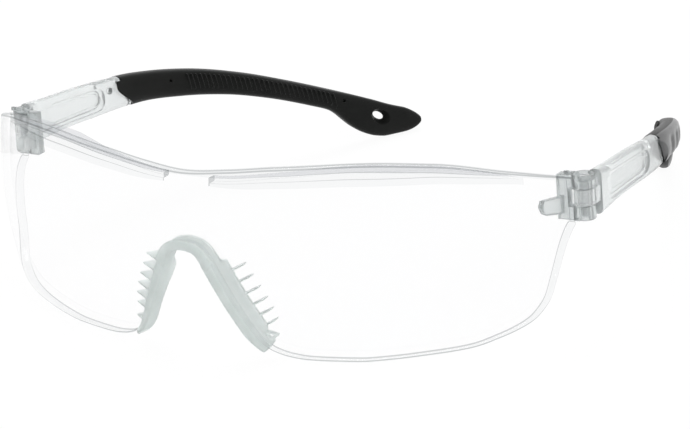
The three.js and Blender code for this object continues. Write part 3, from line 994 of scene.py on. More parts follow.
    def build(self) -> Piece:
        """Makes the lens.

        Returns:
            The lens's object, in millimetres.
        """
        ends = [
            (FORM.end_angle - self.rim * (1 - math.sin(turn)) / FORM.wrap_depth, self.rim * (1 - math.cos(turn)))
            for turn in np.linspace(0, math.pi / 2, self.arc)[1:]
        ]
        sections = [(-angle, inset) for angle, inset in reversed(ends)]
        sections += [(float(angle), 0.0) for angle in self.angles()]
        sections += ends
        rings = [self.ring(angle, inset) for angle, inset in sections]
        skin = Skin.over(rings)
        sides = len(rings[0])
        # Each face's mark picks its tint. All tints except PLAIN are painted shade, and the end caps get the brow's.
        for angle, inset in sections[:-1]:
            skin.marks += [int(self.face(angle, inset, place, sides)) for place in range(sides)]
        skin.marks += [int(LensFace.BROW)] * 2
        return skin.to_object("lens_shell")


@dataclass
class NosePath:
    """The edge of the nose cut-out, with its directions, by the way along it from the top of the arch."""

    end_angle: float = 0.238
    samples: int = 481
    smooth_reach: int = 18
    smooth_width: float = 7.0
    way: np.ndarray = field(init=False)
    points: np.ndarray = field(init=False)
    along: np.ndarray = field(init=False)
    back: np.ndarray = field(init=False)
    out: np.ndarray = field(init=False)

    def __post_init__(self) -> None:
        """Works out the path and its directions."""
        angle = np.linspace(-self.end_angle, self.end_angle, self.samples)
        reach = self.smooth_reach
        kernel = np.exp(-0.5 * (np.arange(-reach, reach + 1) / self.smooth_width) ** 2)
        padded = np.pad(FORM.lower(angle), reach, mode="reflect", reflect_type="odd")
        heights = np.convolve(padded, kernel / kernel.sum(), mode="valid")
        self.points = FORM.point(angle, heights, 0.0)
        self.back = self.unit(FORM.point(angle, heights, FORM.thickness) - self.points)
        self.along = self.unit(np.gradient(self.points, axis=0))
        self.out = self.unit(np.cross(self.along, self.back))
        steps = np.linalg.norm(np.diff(self.points, axis=0), axis=1)
        way = np.concatenate([[0.0], np.cumsum(steps)])
        self.way = way - way[self.samples // 2]

    @staticmethod
    def unit(directions: np.ndarray) -> np.ndarray:
        """Directions brought to length 1."""
        return directions / np.linalg.norm(directions, axis=1)[:, None]

    def at(self, way: float) -> tuple[np.ndarray, np.ndarray, np.ndarray, np.ndarray]:
        """The path at one place.

        Args:
            way: millimetres along the path from the top of the arch.

        Returns:
            The point, and the directions along the path, out into the lens, and back.
        """
        found = []
        for values in (self.points, self.along, self.out, self.back):
            found.append(np.array([np.interp(way, self.way, values[:, k]) for k in range(3)]))
        return tuple(found)


@dataclass
class NosePiece:
    """Soft nose piece: a channel over the cut-out's edge, and on each side a leaning pad with a comb of fins."""

    path: NosePath = field(default_factory=NosePath)
    arch_lip: float = 1.15
    pad_lip: float = 0.35
    arch_web: float = 1.05
    pad_web: float = 1.55
    end_web: float = 0.95
    proud: float = 0.7
    flange: float = 2.6
    flange_start: Pair = (7.6, 8.6)
    flange_end: Pair = (24.6, 28.6)
    wall_start: Pair = (5.6, 11.0)
    wall_depths: Profile = Profile((8.0, 2.5), (12.5, 2.3), (16.0, 1.7), (20.0, 1.1), (24.0, 0.5), (26.5, 0.0))
    fin_ways: tuple[float, ...] = (10.9, 13.8, 16.8, 19.7, 22.4, 25.1)
    fin_reaches: tuple[float, ...] = (5.5, 5.7, 5.8, 5.8, 5.5, 4.8)
    fin_thickness: float = 0.5
    fin_depth: float = 3.6
    end_round: float = 0.5
    end_draw: float = 0.16
    sections: int = 190

    def outline(self, way: float) -> np.ndarray:
        """Section of the nose piece, as distances out from the cut-out's edge and back from the lens's face.

        Args:
            way: millimetres along the path from the top of the arch.

        Returns:
            The rounded outline.
        """
        end, place = float(self.path.way[-1]), abs(way)
        first, deepest = float(self.wall_depths.places[0]), float(self.wall_depths.values[0])
        side = rise(place, *self.flange_start)
        depth = float(self.wall_depths.at(max(place, first))) * rise(place, *self.wall_start)
        pad = depth / deepest
        web = mix(self.arch_web, self.pad_web, rise(place, 3.0, 9.0))
        web = mix(web, self.end_web, rise(place, end - 6, end))
        front, back = -GAP - self.proud, FORM.thickness + GAP + self.proud
        lip = mix(self.arch_lip, self.pad_lip, side)
        flange = mix(self.arch_lip + 0.05, self.flange, side)
        flange = mix(flange, self.pad_lip + 0.05, rise(place, *self.flange_end))
        flange = max(flange, self.arch_lip + 0.05)
        rear, wall = back + 0.3 * side, back + 0.02 + depth
        corners = [
            (-web, mix(front, -GAP, 0.25 * side)), (mix(lip, -web + 0.5, side), front),
            (lip, mix(-GAP, -GAP - 0.08, side)), (-GAP, -GAP), (-GAP, FORM.thickness + GAP),
            (lip, FORM.thickness + GAP), (flange, mix(back - 0.35, back - 0.5, side)), (flange, rear),
            (mix(1.0, 0.95, pad), rear), (mix(0.8, 0.05, pad), wall), (mix(-0.3, -0.95, pad), wall),
            (-web, back - 0.3),
        ]
        radii = [0.45, mix(0.5, 0.3, side), 0.06, 0.12, 0.12, 0.15, 0.3, 0.3, 0.5, 0.45, 0.5, 0.6]
        return rounded(corners, radii)

    def ring(self, way: float, inset: float) -> np.ndarray:
        """Section of the nose piece in space.

        Args:
            way: millimetres along the path from the top of the arch.
            inset: share by which the section is drawn in to its middle, for the rounded ends.

        Returns:
            The section's points.
        """
        point, _, out, back = self.path.at(way)
        outline = mix(self.outline(way), np.array([0.3, FORM.thickness / 2]), inset)
        return point + outline[:, :1] * out + outline[:, 1:] * back

    def body(self) -> Skin:
        """Channel and pads.

        Returns:
            Both in one skin.
        """
        end, r = float(self.path.way[-1]), self.end_round
        rings = [self.ring(way, 0.0) for way in np.linspace(-end + r, end - r, self.sections)]
        for turn in np.linspace(0, math.pi / 2, 5)[1:]:
            inset = self.end_draw * (1 - math.cos(turn))
            rings.append(self.ring(end - r * (1 - math.sin(turn)), inset))
            rings.insert(0, self.ring(-end + r * (1 - math.sin(turn)), inset))
        return Skin.over(rings)

    def fin(self) -> Skin:
        """One fin of unit reach.

        Returns:
            Its skin about its root: x out from the cut-out, y along it, z back.
        """
        front = FORM.thickness + GAP + 0.3
        rear = FORM.thickness + GAP + self.fin_depth
        corners = [
            (0.0, front), (1.0, front), (0.99, front + 0.8), (0.84, rear), (0.5, rear - 0.3), (0.0, front + 1.6),
        ]
        full = rounded(corners, [0.05, 0.12, 0.2, 0.35, 0.2, 0.1], 6)
        rings = []
        for side, inset in ((-1, 0.16), (-0.75, 0.04), (-0.3, 0.0), (0.3, 0.0), (0.75, 0.04), (1, 0.16)):
            outline = drawn_in(full, inset)
            half = self.fin_thickness / 2 * mix(1.15, 0.6, np.clip(outline[:, 0], 0, 1))
            rings.append(np.column_stack([outline[:, 0], side * half, outline[:, 1]]))
        return Skin.over(rings)

    def foot(self, side: Side) -> Skin:
        """Small three-cornered loop at the lower end of a pad, as its outer skin."""
        return self.plate(side, [(14.9, 6.3), (19.5, 5.2), (16.1, 2.7)], [0.4, 0.7, 0.4], (2.5, 3.35))

    def foot_hole(self, side: Side) -> Skin:
        """Cutter for the opening of the loop."""
        return self.plate(side, [(16.05, 5.45), (18.1, 4.95), (16.55, 3.85)], [0.3, 0.3, 0.3], (2.0, 4.0))

    @staticmethod
    def plate(
        side: Side, corners: Sequence[Pair], radii: Sequence[float], depths: Pair
    ) -> Skin:
        """Thin plate that follows the lens's inner face.

        Args:
            side: the side it lies on.
            corners: its corners, as the way round the lens from the middle and the height.
            radii: rounding of each corner.
            depths: how far behind the lens's front its two faces lie.

        Returns:
            The plate's skin.
        """
        outline = rounded(corners, radii, 6)
        rings = []
        for share, inset in ((0.0, 0.08), (0.12, 0.0), (0.88, 0.0), (1.0, 0.08)):
            drawn = drawn_in(outline, inset)
            angle = side.value * drawn[:, 0] / FORM.half_width
            rings.append(FORM.point(angle, drawn[:, 1], mix(*depths, share)))
        return Skin.over(rings)

    def build(self, row: Row) -> Piece:
        """Makes the nose piece.

        Args:
            row: the tree that sets the fins.

        Returns:
            The nose piece's object, in millimetres.
        """
        frames, sizes = [], []
        for side in Side:
            for way, reach in zip(self.fin_ways, self.fin_reaches):
                point, along, out, back = self.path.at(side.value * way)
                frames.append(frame_of(out, along, back, point))
                sizes.append(Vector((reach, 1, 1)))
        fins = row.along("nose_fins", self.fin(), frames, sizes, Palette.of(Finish.SOFT_CLEAR))
        piece = self.body().to_object("nose_channel")
        Workshop.join(piece, fins, Join.ADD)
        for side in Side:
            loop = self.foot(side).to_object("nose_foot")
            Workshop.join(loop, self.foot_hole(side), Join.CUT)
            Workshop.join(piece, loop, Join.ADD)
        return piece


@dataclass(frozen=True)
class HingeForm:
    """Places of the hinge on the wearer's left."""

    x: float = 72.6
    y: float = 44.230865
    leaf_radius: float = 2.3
    leaf_thickness: float = 2.9
    bottom: float = 25.416
    top: float = 35.216
    post_inner: float = 67.4
    post_wall: float = 2.4
    post_front: float = 41.630865
    post_rear: float = 43.930865
    screw_radius: float = 0.85
    head_radius: float = 1.45
    head_thickness: float = 0.8
    head_sink: float = 0.3
    screw_gap: float = 0.25

    @property
    def bore(self) -> float:
        """Radius of the screw's hole."""
        return self.screw_radius + self.screw_gap

    @property
    def knuckle(self) -> Pair:
        """Lower and upper end of the temple's knuckle."""
        return self.bottom + self.leaf_thickness + GAP, self.top - self.leaf_thickness - GAP

    def bar(self, radius: float, bottom: float, top: float) -> Skin:
        """Upright round bar on the hinge line."""
        return Skin.turned([(radius, bottom), (radius, top)], self.x, self.y)


HINGE = HingeForm()


@dataclass
class HingeBlock:
    """Clear block that grips the lens's end and carries the temple's hinge."""

    side: Side
    tongue_front: float = 0.8825
    front_shares: Pair = (0.294, 0.61)
    rear_shares: Pair = (0.151, 0.549)
    tongue_wall: float = 1.7
    cap_reach: float = 1.5
    cap_thickness: float = 0.9
    cap_inner: float = 70.3
    nose_share: float = 0.35
    nose_run: float = 1 / 12
    edge_round: float = 0.16
    edge_angle: float = 40

    def leaf(self, bottom: float, top: float) -> list[Skin]:
        """Flat leaf round the hinge line, with its web to the post."""
        web = Skin.block((HINGE.post_inner, HINGE.x), (HINGE.post_front, HINGE.post_rear), (bottom, top))
        return [web, HINGE.bar(HINGE.leaf_radius, bottom, top)]

    def tongue(self) -> Skin:
        """Tongue that runs forward along the lens's inner face.

        Returns:
            Its skin.
        """
        front = FORM.thickness + GAP
        rings = []
        for share in np.linspace(0, 1, 17):
            angle = FORM.end_angle * mix(self.tongue_front, 1, share)
            low, high = (
                HINGE.bottom + (HINGE.top - HINGE.bottom) * mix(a, b, share)
                for a, b in zip(self.front_shares, self.rear_shares)
            )
            nose = mix(self.nose_share, 1.0, math.sin(math.pi / 2 * min(share / self.nose_run, 1.0)))
            middle, half = (low + high) / 2, (high - low) / 2 * nose
            rear = front + self.tongue_wall
            corners = [(middle - half, front), (middle + half, front), (middle + half, rear), (middle - half, rear)]
            outline = rounded(corners, [0.15, 0.15, 0.5, 0.5])
            rings.append(FORM.point(angle, outline[:, 0], outline[:, 1]))
        last = rings[-1].copy()
        last[:, 1] = (HINGE.post_front + HINGE.post_rear) / 2
        rings.append(last)
        return Skin.over(rings)

    def cap(self) -> Skin:
        """Cap that runs forward over the end of the lens's upper edge.

        Returns:
            Its skin.
        """
        front_angle = FORM.end_angle - self.cap_reach / FORM.wrap_depth
        front_y = float(FORM.point(front_angle, FORM.widest, 0.0)[1])
        under_front, under_rear = float(FORM.upper(front_angle)) + GAP, float(FORM.upper(FORM.end_angle)) + GAP
        sunk = HINGE.top - HINGE.leaf_thickness / 2
        outline = rounded(
            [
                (front_y, under_front), (HINGE.post_front, under_rear), (HINGE.post_front, sunk),
                (HINGE.post_rear, sunk), (HINGE.post_rear, HINGE.top),
                (HINGE.post_front, under_rear + self.cap_thickness), (front_y, under_front + self.cap_thickness),
            ],
            [0.2, 0.05, 0.05, 0.05, 0.05, 0.6, 0.4], 4,
        )
        return Skin.over([np.column_stack([np.full(len(outline), x), outline]) for x in (self.cap_inner, HINGE.x)])

    def build(self) -> Piece:
        """Makes the block.

        Returns:
            The block's object, in millimetres.
        """
        low, high = HINGE.knuckle
        piece = Skin.block(
            (HINGE.post_inner, HINGE.post_inner + HINGE.post_wall), (HINGE.post_front, HINGE.post_rear),
            (HINGE.bottom, HINGE.top),
        ).to_object(f"hinge_{self.side.word}")
        leaves = [*self.leaf(HINGE.bottom, low - GAP), *self.leaf(high + GAP, HINGE.top)]
        for skin in [*leaves, self.cap(), self.tongue()]:
            Workshop.join(piece, skin, Join.ADD)
        seat = HINGE.top - HINGE.head_sink - HINGE.head_thickness - HINGE.screw_gap
        for radius, bottom in ((HINGE.bore, HINGE.bottom - 1), (HINGE.head_radius + HINGE.screw_gap, seat)):
            Workshop.join(piece, HINGE.bar(radius, bottom, HINGE.top + 1), Join.CUT)
        return Workshop.ease_edges(piece, self.edge_round, self.edge_angle)


@dataclass
class HingeScrew:
    """Slotted screw of the hinge, turned from one bar with a thread at its lower end."""

    side: Side
    core_sink: float = 0.08
    slot_width: float = 0.4
    slot_depth: float = 0.4
    thread_turns: int = 7
    thread_pitch: float = 0.5
    thread_start: float = 0.7

    def build(self, row: Row) -> Piece:
        """Makes the screw.

        Args:
            row: the tree that sets the thread's turns.

        Returns:
            The screw's object, in millimetres.
        """
        top, bottom = HINGE.top - HINGE.head_sink, HINGE.bottom + HINGE.head_sink
        r, head, crest = HINGE.screw_radius - self.core_sink, HINGE.head_radius, HINGE.screw_radius
        seat = top - HINGE.head_thickness
        profile = [
            (0.45, bottom), (r, bottom + 0.4), (r, seat), (head - 0.1, seat), (head, seat + 0.12), (head, top - 0.22),
            (head - 0.2, top - 0.04), (head - 0.5, top),
        ]
        piece = Skin.turned(profile, HINGE.x, HINGE.y, 48).to_object(f"screw_{self.side.word}")
        reach, half = head + 1, self.slot_width / 2
        slot = Skin.block(
            (HINGE.x - reach, HINGE.x + reach), (HINGE.y - half, HINGE.y + half), (top - self.slot_depth, top + 1)
        )
        Workshop.join(piece, slot, Join.CUT)
        ridge = Skin.turned([(r - 0.05, -0.16), (crest, -0.03), (crest, 0.03), (r - 0.05, 0.16)], sides=32)
        frames = [
            Matrix.Translation((HINGE.x, HINGE.y, bottom + self.thread_start + self.thread_pitch * k))
            for k in range(self.thread_turns)
        ]
        sizes = [Vector((1, 1, 1))] * len(frames)
        thread = row.along(f"thread_{self.side.word}", ridge, frames, sizes, Palette.of(Finish.STEEL))
        return Workshop.join(piece, thread, Join.ADD)


@dataclass(frozen=True)
class TempleForm:
    """Form of the temple on the wearer's left, by the run along its middle line."""

    start_x: float = 74.1
    toe_in: float = math.radians(5)
    front_run: float = 28.0
    bend: float = math.radians(25)
    bend_run: float = 34.0
    length: float = 117.76
    front_top: float = 35.616
    tip_height_share: float = 0.14
    tip_round: float = 4.6
    core_thickness: float = 3.0
    tongue_thickness: float = 1.6
    slim_start: float = 34.0
    slim_end: float = 44.0
    core_end: float = 86.0
    shoulder_drop: float = 1.4
    shoulder_run: float = 0.3
    sleeve_thickness: float = 4.8
    top_shares: Profile = Profile(
        (0, 1), (0.084, 0.983), (0.143, 0.975), (0.202, 0.961), (0.261, 0.944), (0.32, 0.927), (0.376, 0.902),
        (0.4275, 0.874), (0.502, 0.823), (0.598, 0.733), (0.694, 0.618), (0.792, 0.489), (0.89, 0.351),
        (0.935, 0.283), (1, 0.203),
    )
    bottom_shares: Profile = Profile(
        (0, 0.717), (0.118, 0.733), (0.219, 0.724), (0.346, 0.714), (0.455, 0.671), (0.555, 0.612), (0.652, 0.52),
        (0.749, 0.399), (0.786, 0.3455), (0.803, 0.303), (0.817, 0.2556), (0.8356, 0.1966), (0.865, 0.129),
        (0.8946, 0.087), (0.92, 0.0715), (0.946, 0.0715), (0.967, 0.0725), (1, 0.0745),
    )
    inner_front: Profile = Profile((0, 37.9), (0.72, 32.3), (0.95, 32.9), (1, 34.6))
    outer_front: Profile = Profile((0, 37.8), (0.4, 38.2), (1, 32.6))

    @staticmethod
    def forward(turned: float) -> np.ndarray:
        """Direction along the temple in plan, where it has turned inwards by an angle."""
        return np.array([-math.sin(turned), math.cos(turned)])

    def plan(self, run: float) -> tuple[np.ndarray, np.ndarray]:
        """Middle line in plan.

        Args:
            run: millimetres along the temple.

        Returns:
            The place and the outward direction.
        """
        place = np.array([self.start_x, HINGE.y]) + self.forward(self.toe_in) * min(run, self.front_run)
        angle = self.toe_in + self.bend * clamp((run - self.front_run) / self.bend_run)
        radius = self.bend_run / self.bend
        place += radius * np.array([math.cos(angle) - math.cos(self.toe_in), math.sin(angle) - math.sin(self.toe_in)])
        place += self.forward(angle) * max(run - self.front_run - self.bend_run, 0.0)
        return place, np.array([math.cos(angle), math.sin(angle)])

    def point(self, run: float, out: float, height: float) -> np.ndarray:
        """Point at a run along the temple, a way out from its middle line, and a height."""
        place, outward = self.plan(run)
        return np.array([place[0] + outward[0] * out, place[1] + outward[1] * out, height])

    def oval(
        self, run: float, height: float, out: float, halves: Pair, tilt: float = 0.0, sides: int = 48
    ) -> np.ndarray:
        """Upright oval that faces out from the middle line.

        Args:
            run: run of its middle.
            height: height of its middle.
            out: millimetres out from the middle line.
            halves: half of its length and of its width.
            tilt: how far its length rises, as an angle.
            sides: points round it.

        Returns:
            Its points.
        """
        ring = []
        for turn in turns(sides):
            long, short = halves[0] * math.cos(turn), halves[1] * math.sin(turn)
            ring.append(
                self.point(
                    run + long * math.cos(tilt) - short * math.sin(tilt), out,
                    height + long * math.sin(tilt) + short * math.cos(tilt),
                )
            )
        return np.array(ring)

    def tip_share(self, run: float) -> float:
        """Share of the temple's height that is left as it rounds off at the tip."""
        w = clamp((run - self.length + self.tip_round) / self.tip_round)
        return math.sqrt(1 - (w * (1 - GAP / self.tip_round)) ** 2)

    def edge(self, shares: Profile, run: float) -> float:
        """Height of the edge with the given shares of the front's height."""
        return self.front_top * mix(self.tip_height_share, float(shares.at(run / self.length)), self.tip_share(run))

    def top(self, run: float) -> float:
        """Height of the upper edge."""
        return self.edge(self.top_shares, run)

    def bottom(self, run: float) -> float:
        """Height of the lower edge."""
        return self.edge(self.bottom_shares, run)

    def sleeve_front(self, height_share: float, out_share: float) -> float:
        """Run of the sleeve's front edge at a share of its height and a share of the way out."""
        outer = rise(out_share, 0.5, 1.0)
        return mix(float(self.inner_front.at(height_share)), float(self.outer_front.at(height_share)), outer)

    def bar(self, start: float, margin: float, corner_share: float = 1.0, steps: int = 90) -> Skin:
        """Clear bar from the hinge into the sleeve.

        Args:
            start: run at which it starts.
            margin: how much wider it is all round, for the hollow it lies in.
            corner_share: share of its rounding that is left in front of the shoulder.
            steps: sections along it.

        Returns:
            The bar's skin.
        """
        top_shoulder = self.sleeve_front(1, 0.5) - GAP
        bottom_shoulder = self.sleeve_front(0, 0.5) - GAP
        runs = [top_shoulder, top_shoulder + self.shoulder_run, bottom_shoulder, bottom_shoulder + self.shoulder_run]
        runs += list(np.linspace(start, self.core_end + margin, steps))
        rings = []
        for run in sorted(run for run in runs if run >= start):
            slim = rise(run, self.slim_start, self.slim_end)
            half = mix(self.core_thickness, self.tongue_thickness, slim) / 2 + margin
            past_top, past_bottom = (
                clamp((run - shoulder) / self.shoulder_run) for shoulder in (top_shoulder, bottom_shoulder)
            )
            low = self.bottom(run) + self.shoulder_drop * past_bottom - margin
            high = self.top(run) - self.shoulder_drop * past_top + margin
            radius = 0.95 * mix(corner_share, 1.0, past_bottom) * half
            outline = rounded([(half, low), (half, high), (-half, high), (-half, low)], [radius] * 4, 7)
            rings.append(np.array([self.point(run, out, height) for out, height in outline]))
        return Skin.over(rings)


TEMPLE = TempleForm()


class Face(Enum):
    """The two faces of a temple, and the sign of the way out to each."""

    INNER = -1
    OUTER = 1


@dataclass
class TempleCore:
    """Clear temple: knuckle, neck and bar, with a sunk panel on each face."""

    side: Side
    panel_depth: float = 0.42
    panel_margin: float = 1.3
    floor_inset: float = 0.75
    floor_depth: float = 0.1
    panel_starts: dict[Face, float] = field(default_factory=lambda: {Face.INNER: 8.6, Face.OUTER: 5.4})
    panel_end: float = 28.6
    panel_slope: float = 0.55
    panel_round: float = 0.16
    peg_run: float = 30.6
    peg_height: float = 30.915
    peg_radius: float = 0.85
    peg_depth: float = 1.2

    def panel(self, face: Face, inset: float, depth: float) -> Skin:
        """Cutter for a sunk panel with round corners.

        Args:
            face: the face that it sinks into.
            inset: how far its outline lies within the panel's.
            depth: how deep it goes.

        Returns:
            The cutter's skin.
        """
        half = TEMPLE.core_thickness / 2
        start, end = self.panel_starts[face] + inset, self.panel_end - inset
        levels = (
            (half - depth, -self.panel_slope), (half - depth * 0.5, -self.panel_slope * 0.35), (half, 0.0),
            (half + 1, 0.25),
        )
        rings = []
        for out, grow in levels:
            outline = []
            for x, y in rounded([(0, 0), (1, 0), (1, 1), (0, 1)], [0.49] * 4, 9):
                run = mix(start - grow, end + grow, self.near_end(x))
                low = TEMPLE.bottom(run) + self.panel_margin + inset - grow
                high = TEMPLE.top(run) - self.panel_margin - inset + grow
                outline.append(TEMPLE.point(run, face.value * out, mix(low, high, y)))
            rings.append(np.array(outline))
        return Skin.over(rings)

    def near_end(self, share: float) -> float:
        """Draws the round ends of the unit outline towards 0 and 1, so that its long sides stay straight."""
        reach = self.panel_round * 2
        return reach * share if share < 0.5 else 1 - reach * (1 - share)

    def peg_hole(self) -> Skin:
        """Round cutter for the inner face, where the sleeve's rubber is locked.

        Returns:
            Its skin.
        """
        half, halves = TEMPLE.core_thickness / 2, (self.peg_radius, self.peg_radius)
        depths = (-half - 1, -half + self.peg_depth)
        return Skin.over([TEMPLE.oval(self.peg_run, self.peg_height, out, halves, sides=32) for out in depths])

    def build(self) -> Piece:
        """Makes the clear temple.

        Returns:
            Its object, in millimetres.
        """
        low, high = HINGE.knuckle
        piece = TEMPLE.bar(HINGE.leaf_radius + GAP, 0.0).to_object(f"core_{self.side.word}")
        neck = Skin.block(
            (HINGE.x, HINGE.x + HINGE.leaf_radius), (HINGE.y, HINGE.y + HINGE.leaf_radius + 2 * GAP), (low, high)
        )
        for skin in (neck, HINGE.bar(HINGE.leaf_radius, low, high)):
            Workshop.join(piece, skin, Join.ADD)
        cutters = [HINGE.bar(HINGE.bore, low - 1, high + 1)]
        for face in Face:
            for inset, deeper in ((0.0, 0.0), (self.floor_inset, self.floor_depth)):
                cutters.append(self.panel(face, inset, self.panel_depth + deeper))
        for cutter in [*cutters, self.peg_hole()]:
            Workshop.join(piece, cutter, Join.CUT)
        return piece


@dataclass
class TempleSleeve:
    """Dark soft sleeve: V-cut front edge, ribs on its inner face, finger notches outside, and a hole in its paddle."""

    side: Side
    sides: int = 72
    sections: int = 190
    crowding: float = 1.35
    squareness: float = 2.8
    slim_run: float = 84.0
    tip_share: float = 0.7
    notches: int = 5
    notch_run: float = 43.0
    notch_pitch: float = 6.0
    notch_depth: float = 0.42
    notch_lean: float = 1.6
    notch_slopes: Pair = (1.9, 1.15)
    notch_fade: Pair = (0.62, 0.86)
    notch_spread: float = 1.2
    worn_share: float = 0.3
    hollow_start: float = 31.6
    hollow_corner: float = 0.1
    hole_run: float = 106.27
    hole_height: float = 8.13
    hole_half: Pair = (1.72, 0.8)
    hole_tilt: float = math.radians(-34)
    hole_flare: tuple[Pair, ...] = ((0, 0), (0.35, 0.06), (0.7, 0.3), (1.4, 0.8), (2.0, 1.15), (3.4, 1.9))
    ribs: int = 32
    rib_start: float = 54.6
    rib_end: float = 93.7
    rib_lean: float = 0.22
    rib_middle: float = 0.6
    rib_size: Triple = (0.62, 0.34, 0.62)
    dimples: tuple[Pair, ...] = ((49.4, 28.9), (96.3, 14.3))
    dimple_levels: tuple[Pair, ...] = ((-0.9, 0.05), (-0.75, 0.3), (-0.4, 0.42), (1.0, 0.5))

    def half_at(self, run: float) -> float:
        """Half of the sleeve's thickness at a run."""
        slim = mix(1.0, self.tip_share, rise(run, self.slim_run, TEMPLE.length))
        return TEMPLE.sleeve_thickness / 2 * slim * mix(0.5, 1.0, TEMPLE.tip_share(run))

    def notch(self, run: float, height_share: float) -> float:
        """Depth of the finger notches in the outer face at a place.

        Args:
            run: millimetres along the temple.
            height_share: share of the sleeve's height.

        Returns:
            How far the face is drawn in there.
        """
        lean = self.notch_lean * (height_share - 0.5)
        ahead, behind = self.notch_slopes
        best = 0.0
        for k in range(self.notches):
            gap = run + lean - (self.notch_run + self.notch_pitch * k)
            best = max(best, math.exp(-((gap / behind) ** 2) if gap > 0 else -((gap / ahead) ** 2)))
        return self.notch_depth * best * (1 - rise(height_share, *self.notch_fade))

    def body(self) -> Skin:
        """Sleeve without its openings.

        Returns:
            Its skin, with the outer face marked for the rubber with painted sheen.
        """
        rings = []
        for k in range(self.sections + 1):
            share = 1 - (1 - k / self.sections) ** self.crowding
            ring = []
            for turn in turns(self.sides):
                out, up = (
                    math.copysign(abs(value) ** (2 / self.squareness), value)
                    for value in (math.cos(turn), math.sin(turn))
                )
                front = TEMPLE.sleeve_front((1 + up) / 2, (1 + out) / 2)
                run = mix(front, TEMPLE.length, share)
                height = mix(TEMPLE.bottom(run), TEMPLE.top(run), (1 + up) / 2)
                place = self.half_at(run) * out
                if out > 0:
                    place -= self.notch(run, (1 + up) / 2) * min(out * self.notch_spread, 1.0)
                ring.append(TEMPLE.point(run, place, height))
            rings.append(np.array(ring))
        skin = Skin.over(rings)
        # Faces that turn outwards get the rubber with painted sheen.
        outer = [int(value > self.worn_share) for value in np.cos(turns(self.sides) + math.pi / self.sides)]
        skin.marks = (outer * (self.sections + 1))[:len(skin.faces)]
        return skin

    def hole(self) -> Skin:
        """Flared cutter for the slanting hole in the paddle.

        Returns:
            Its skin.
        """
        rings, (long, short) = [], self.hole_half
        for out, grow in [*((-out, grow) for out, grow in self.hole_flare[:0:-1]), *self.hole_flare]:
            halves = long + grow, short + grow
            rings.append(TEMPLE.oval(self.hole_run, self.hole_height, out, halves, self.hole_tilt))
        return Skin.over(rings)

    def dimple(self, run: float, height: float) -> Skin:
        """Small round cutter in the inner face."""
        face, levels = -self.half_at(run), self.dimple_levels
        return Skin.over([TEMPLE.oval(run, height, face - out, (radius, radius), sides=24) for out, radius in levels])

    def build(self) -> Piece:
        """Makes the sleeve without its ribs.

        Returns:
            Its object, in millimetres.
        """
        piece = self.body().to_object(f"sleeve_{self.side.word}")
        dimples = [self.dimple(run, height) for run, height in self.dimples]
        for cutter in [TEMPLE.bar(self.hollow_start, GAP, self.hollow_corner), self.hole(), *dimples]:
            Workshop.join(piece, cutter, Join.CUT)
        return piece

    def rib_row(self, row: Row) -> Piece:
        """Sets the ribs on the sleeve's inner face.

        Args:
            row: the tree that sets them.

        Returns:
            The ribs' object, in millimetres.
        """
        shape = []
        for height, share in ((-0.5, 0.55), (-0.44, 0.86), (-0.3, 1.0), (0.3, 1.0), (0.44, 0.86), (0.5, 0.55)):
            outline = [(-0.5, -0.5), (-0.42, 0.16), (-0.2, 0.5), (0.2, 0.5), (0.42, 0.16), (0.5, -0.5)]
            shape.append(np.array([(x * share, y if y < 0 else y * share, height) for x, y in outline]))
        frames, sizes = [], []
        for run in np.linspace(self.rib_start, self.rib_end, self.ribs):
            low, high = TEMPLE.bottom(run), TEMPLE.top(run)
            _, outward = TEMPLE.plan(run)
            inward = -np.array([outward[0], outward[1], 0.0])
            lean = np.array([outward[1], -outward[0], 0.0]) * self.rib_lean + np.array([0, 0, 1.0])
            lean = lean / np.linalg.norm(lean)
            place = TEMPLE.point(run, -self.half_at(run) * 0.99, mix(low, high, self.rib_middle))
            frames.append(frame_of(np.cross(inward, lean), inward, lean, place))
            width, depth, height_share = self.rib_size
            sizes.append(Vector((width, depth, (high - low) * height_share)))
        return row.along(f"ribs_{self.side.word}", Skin.over(shape), frames, sizes, Palette.of(Finish.DARK_RUBBER))


# ---------------------------------------------------------------------------------------------------------------
# Studio


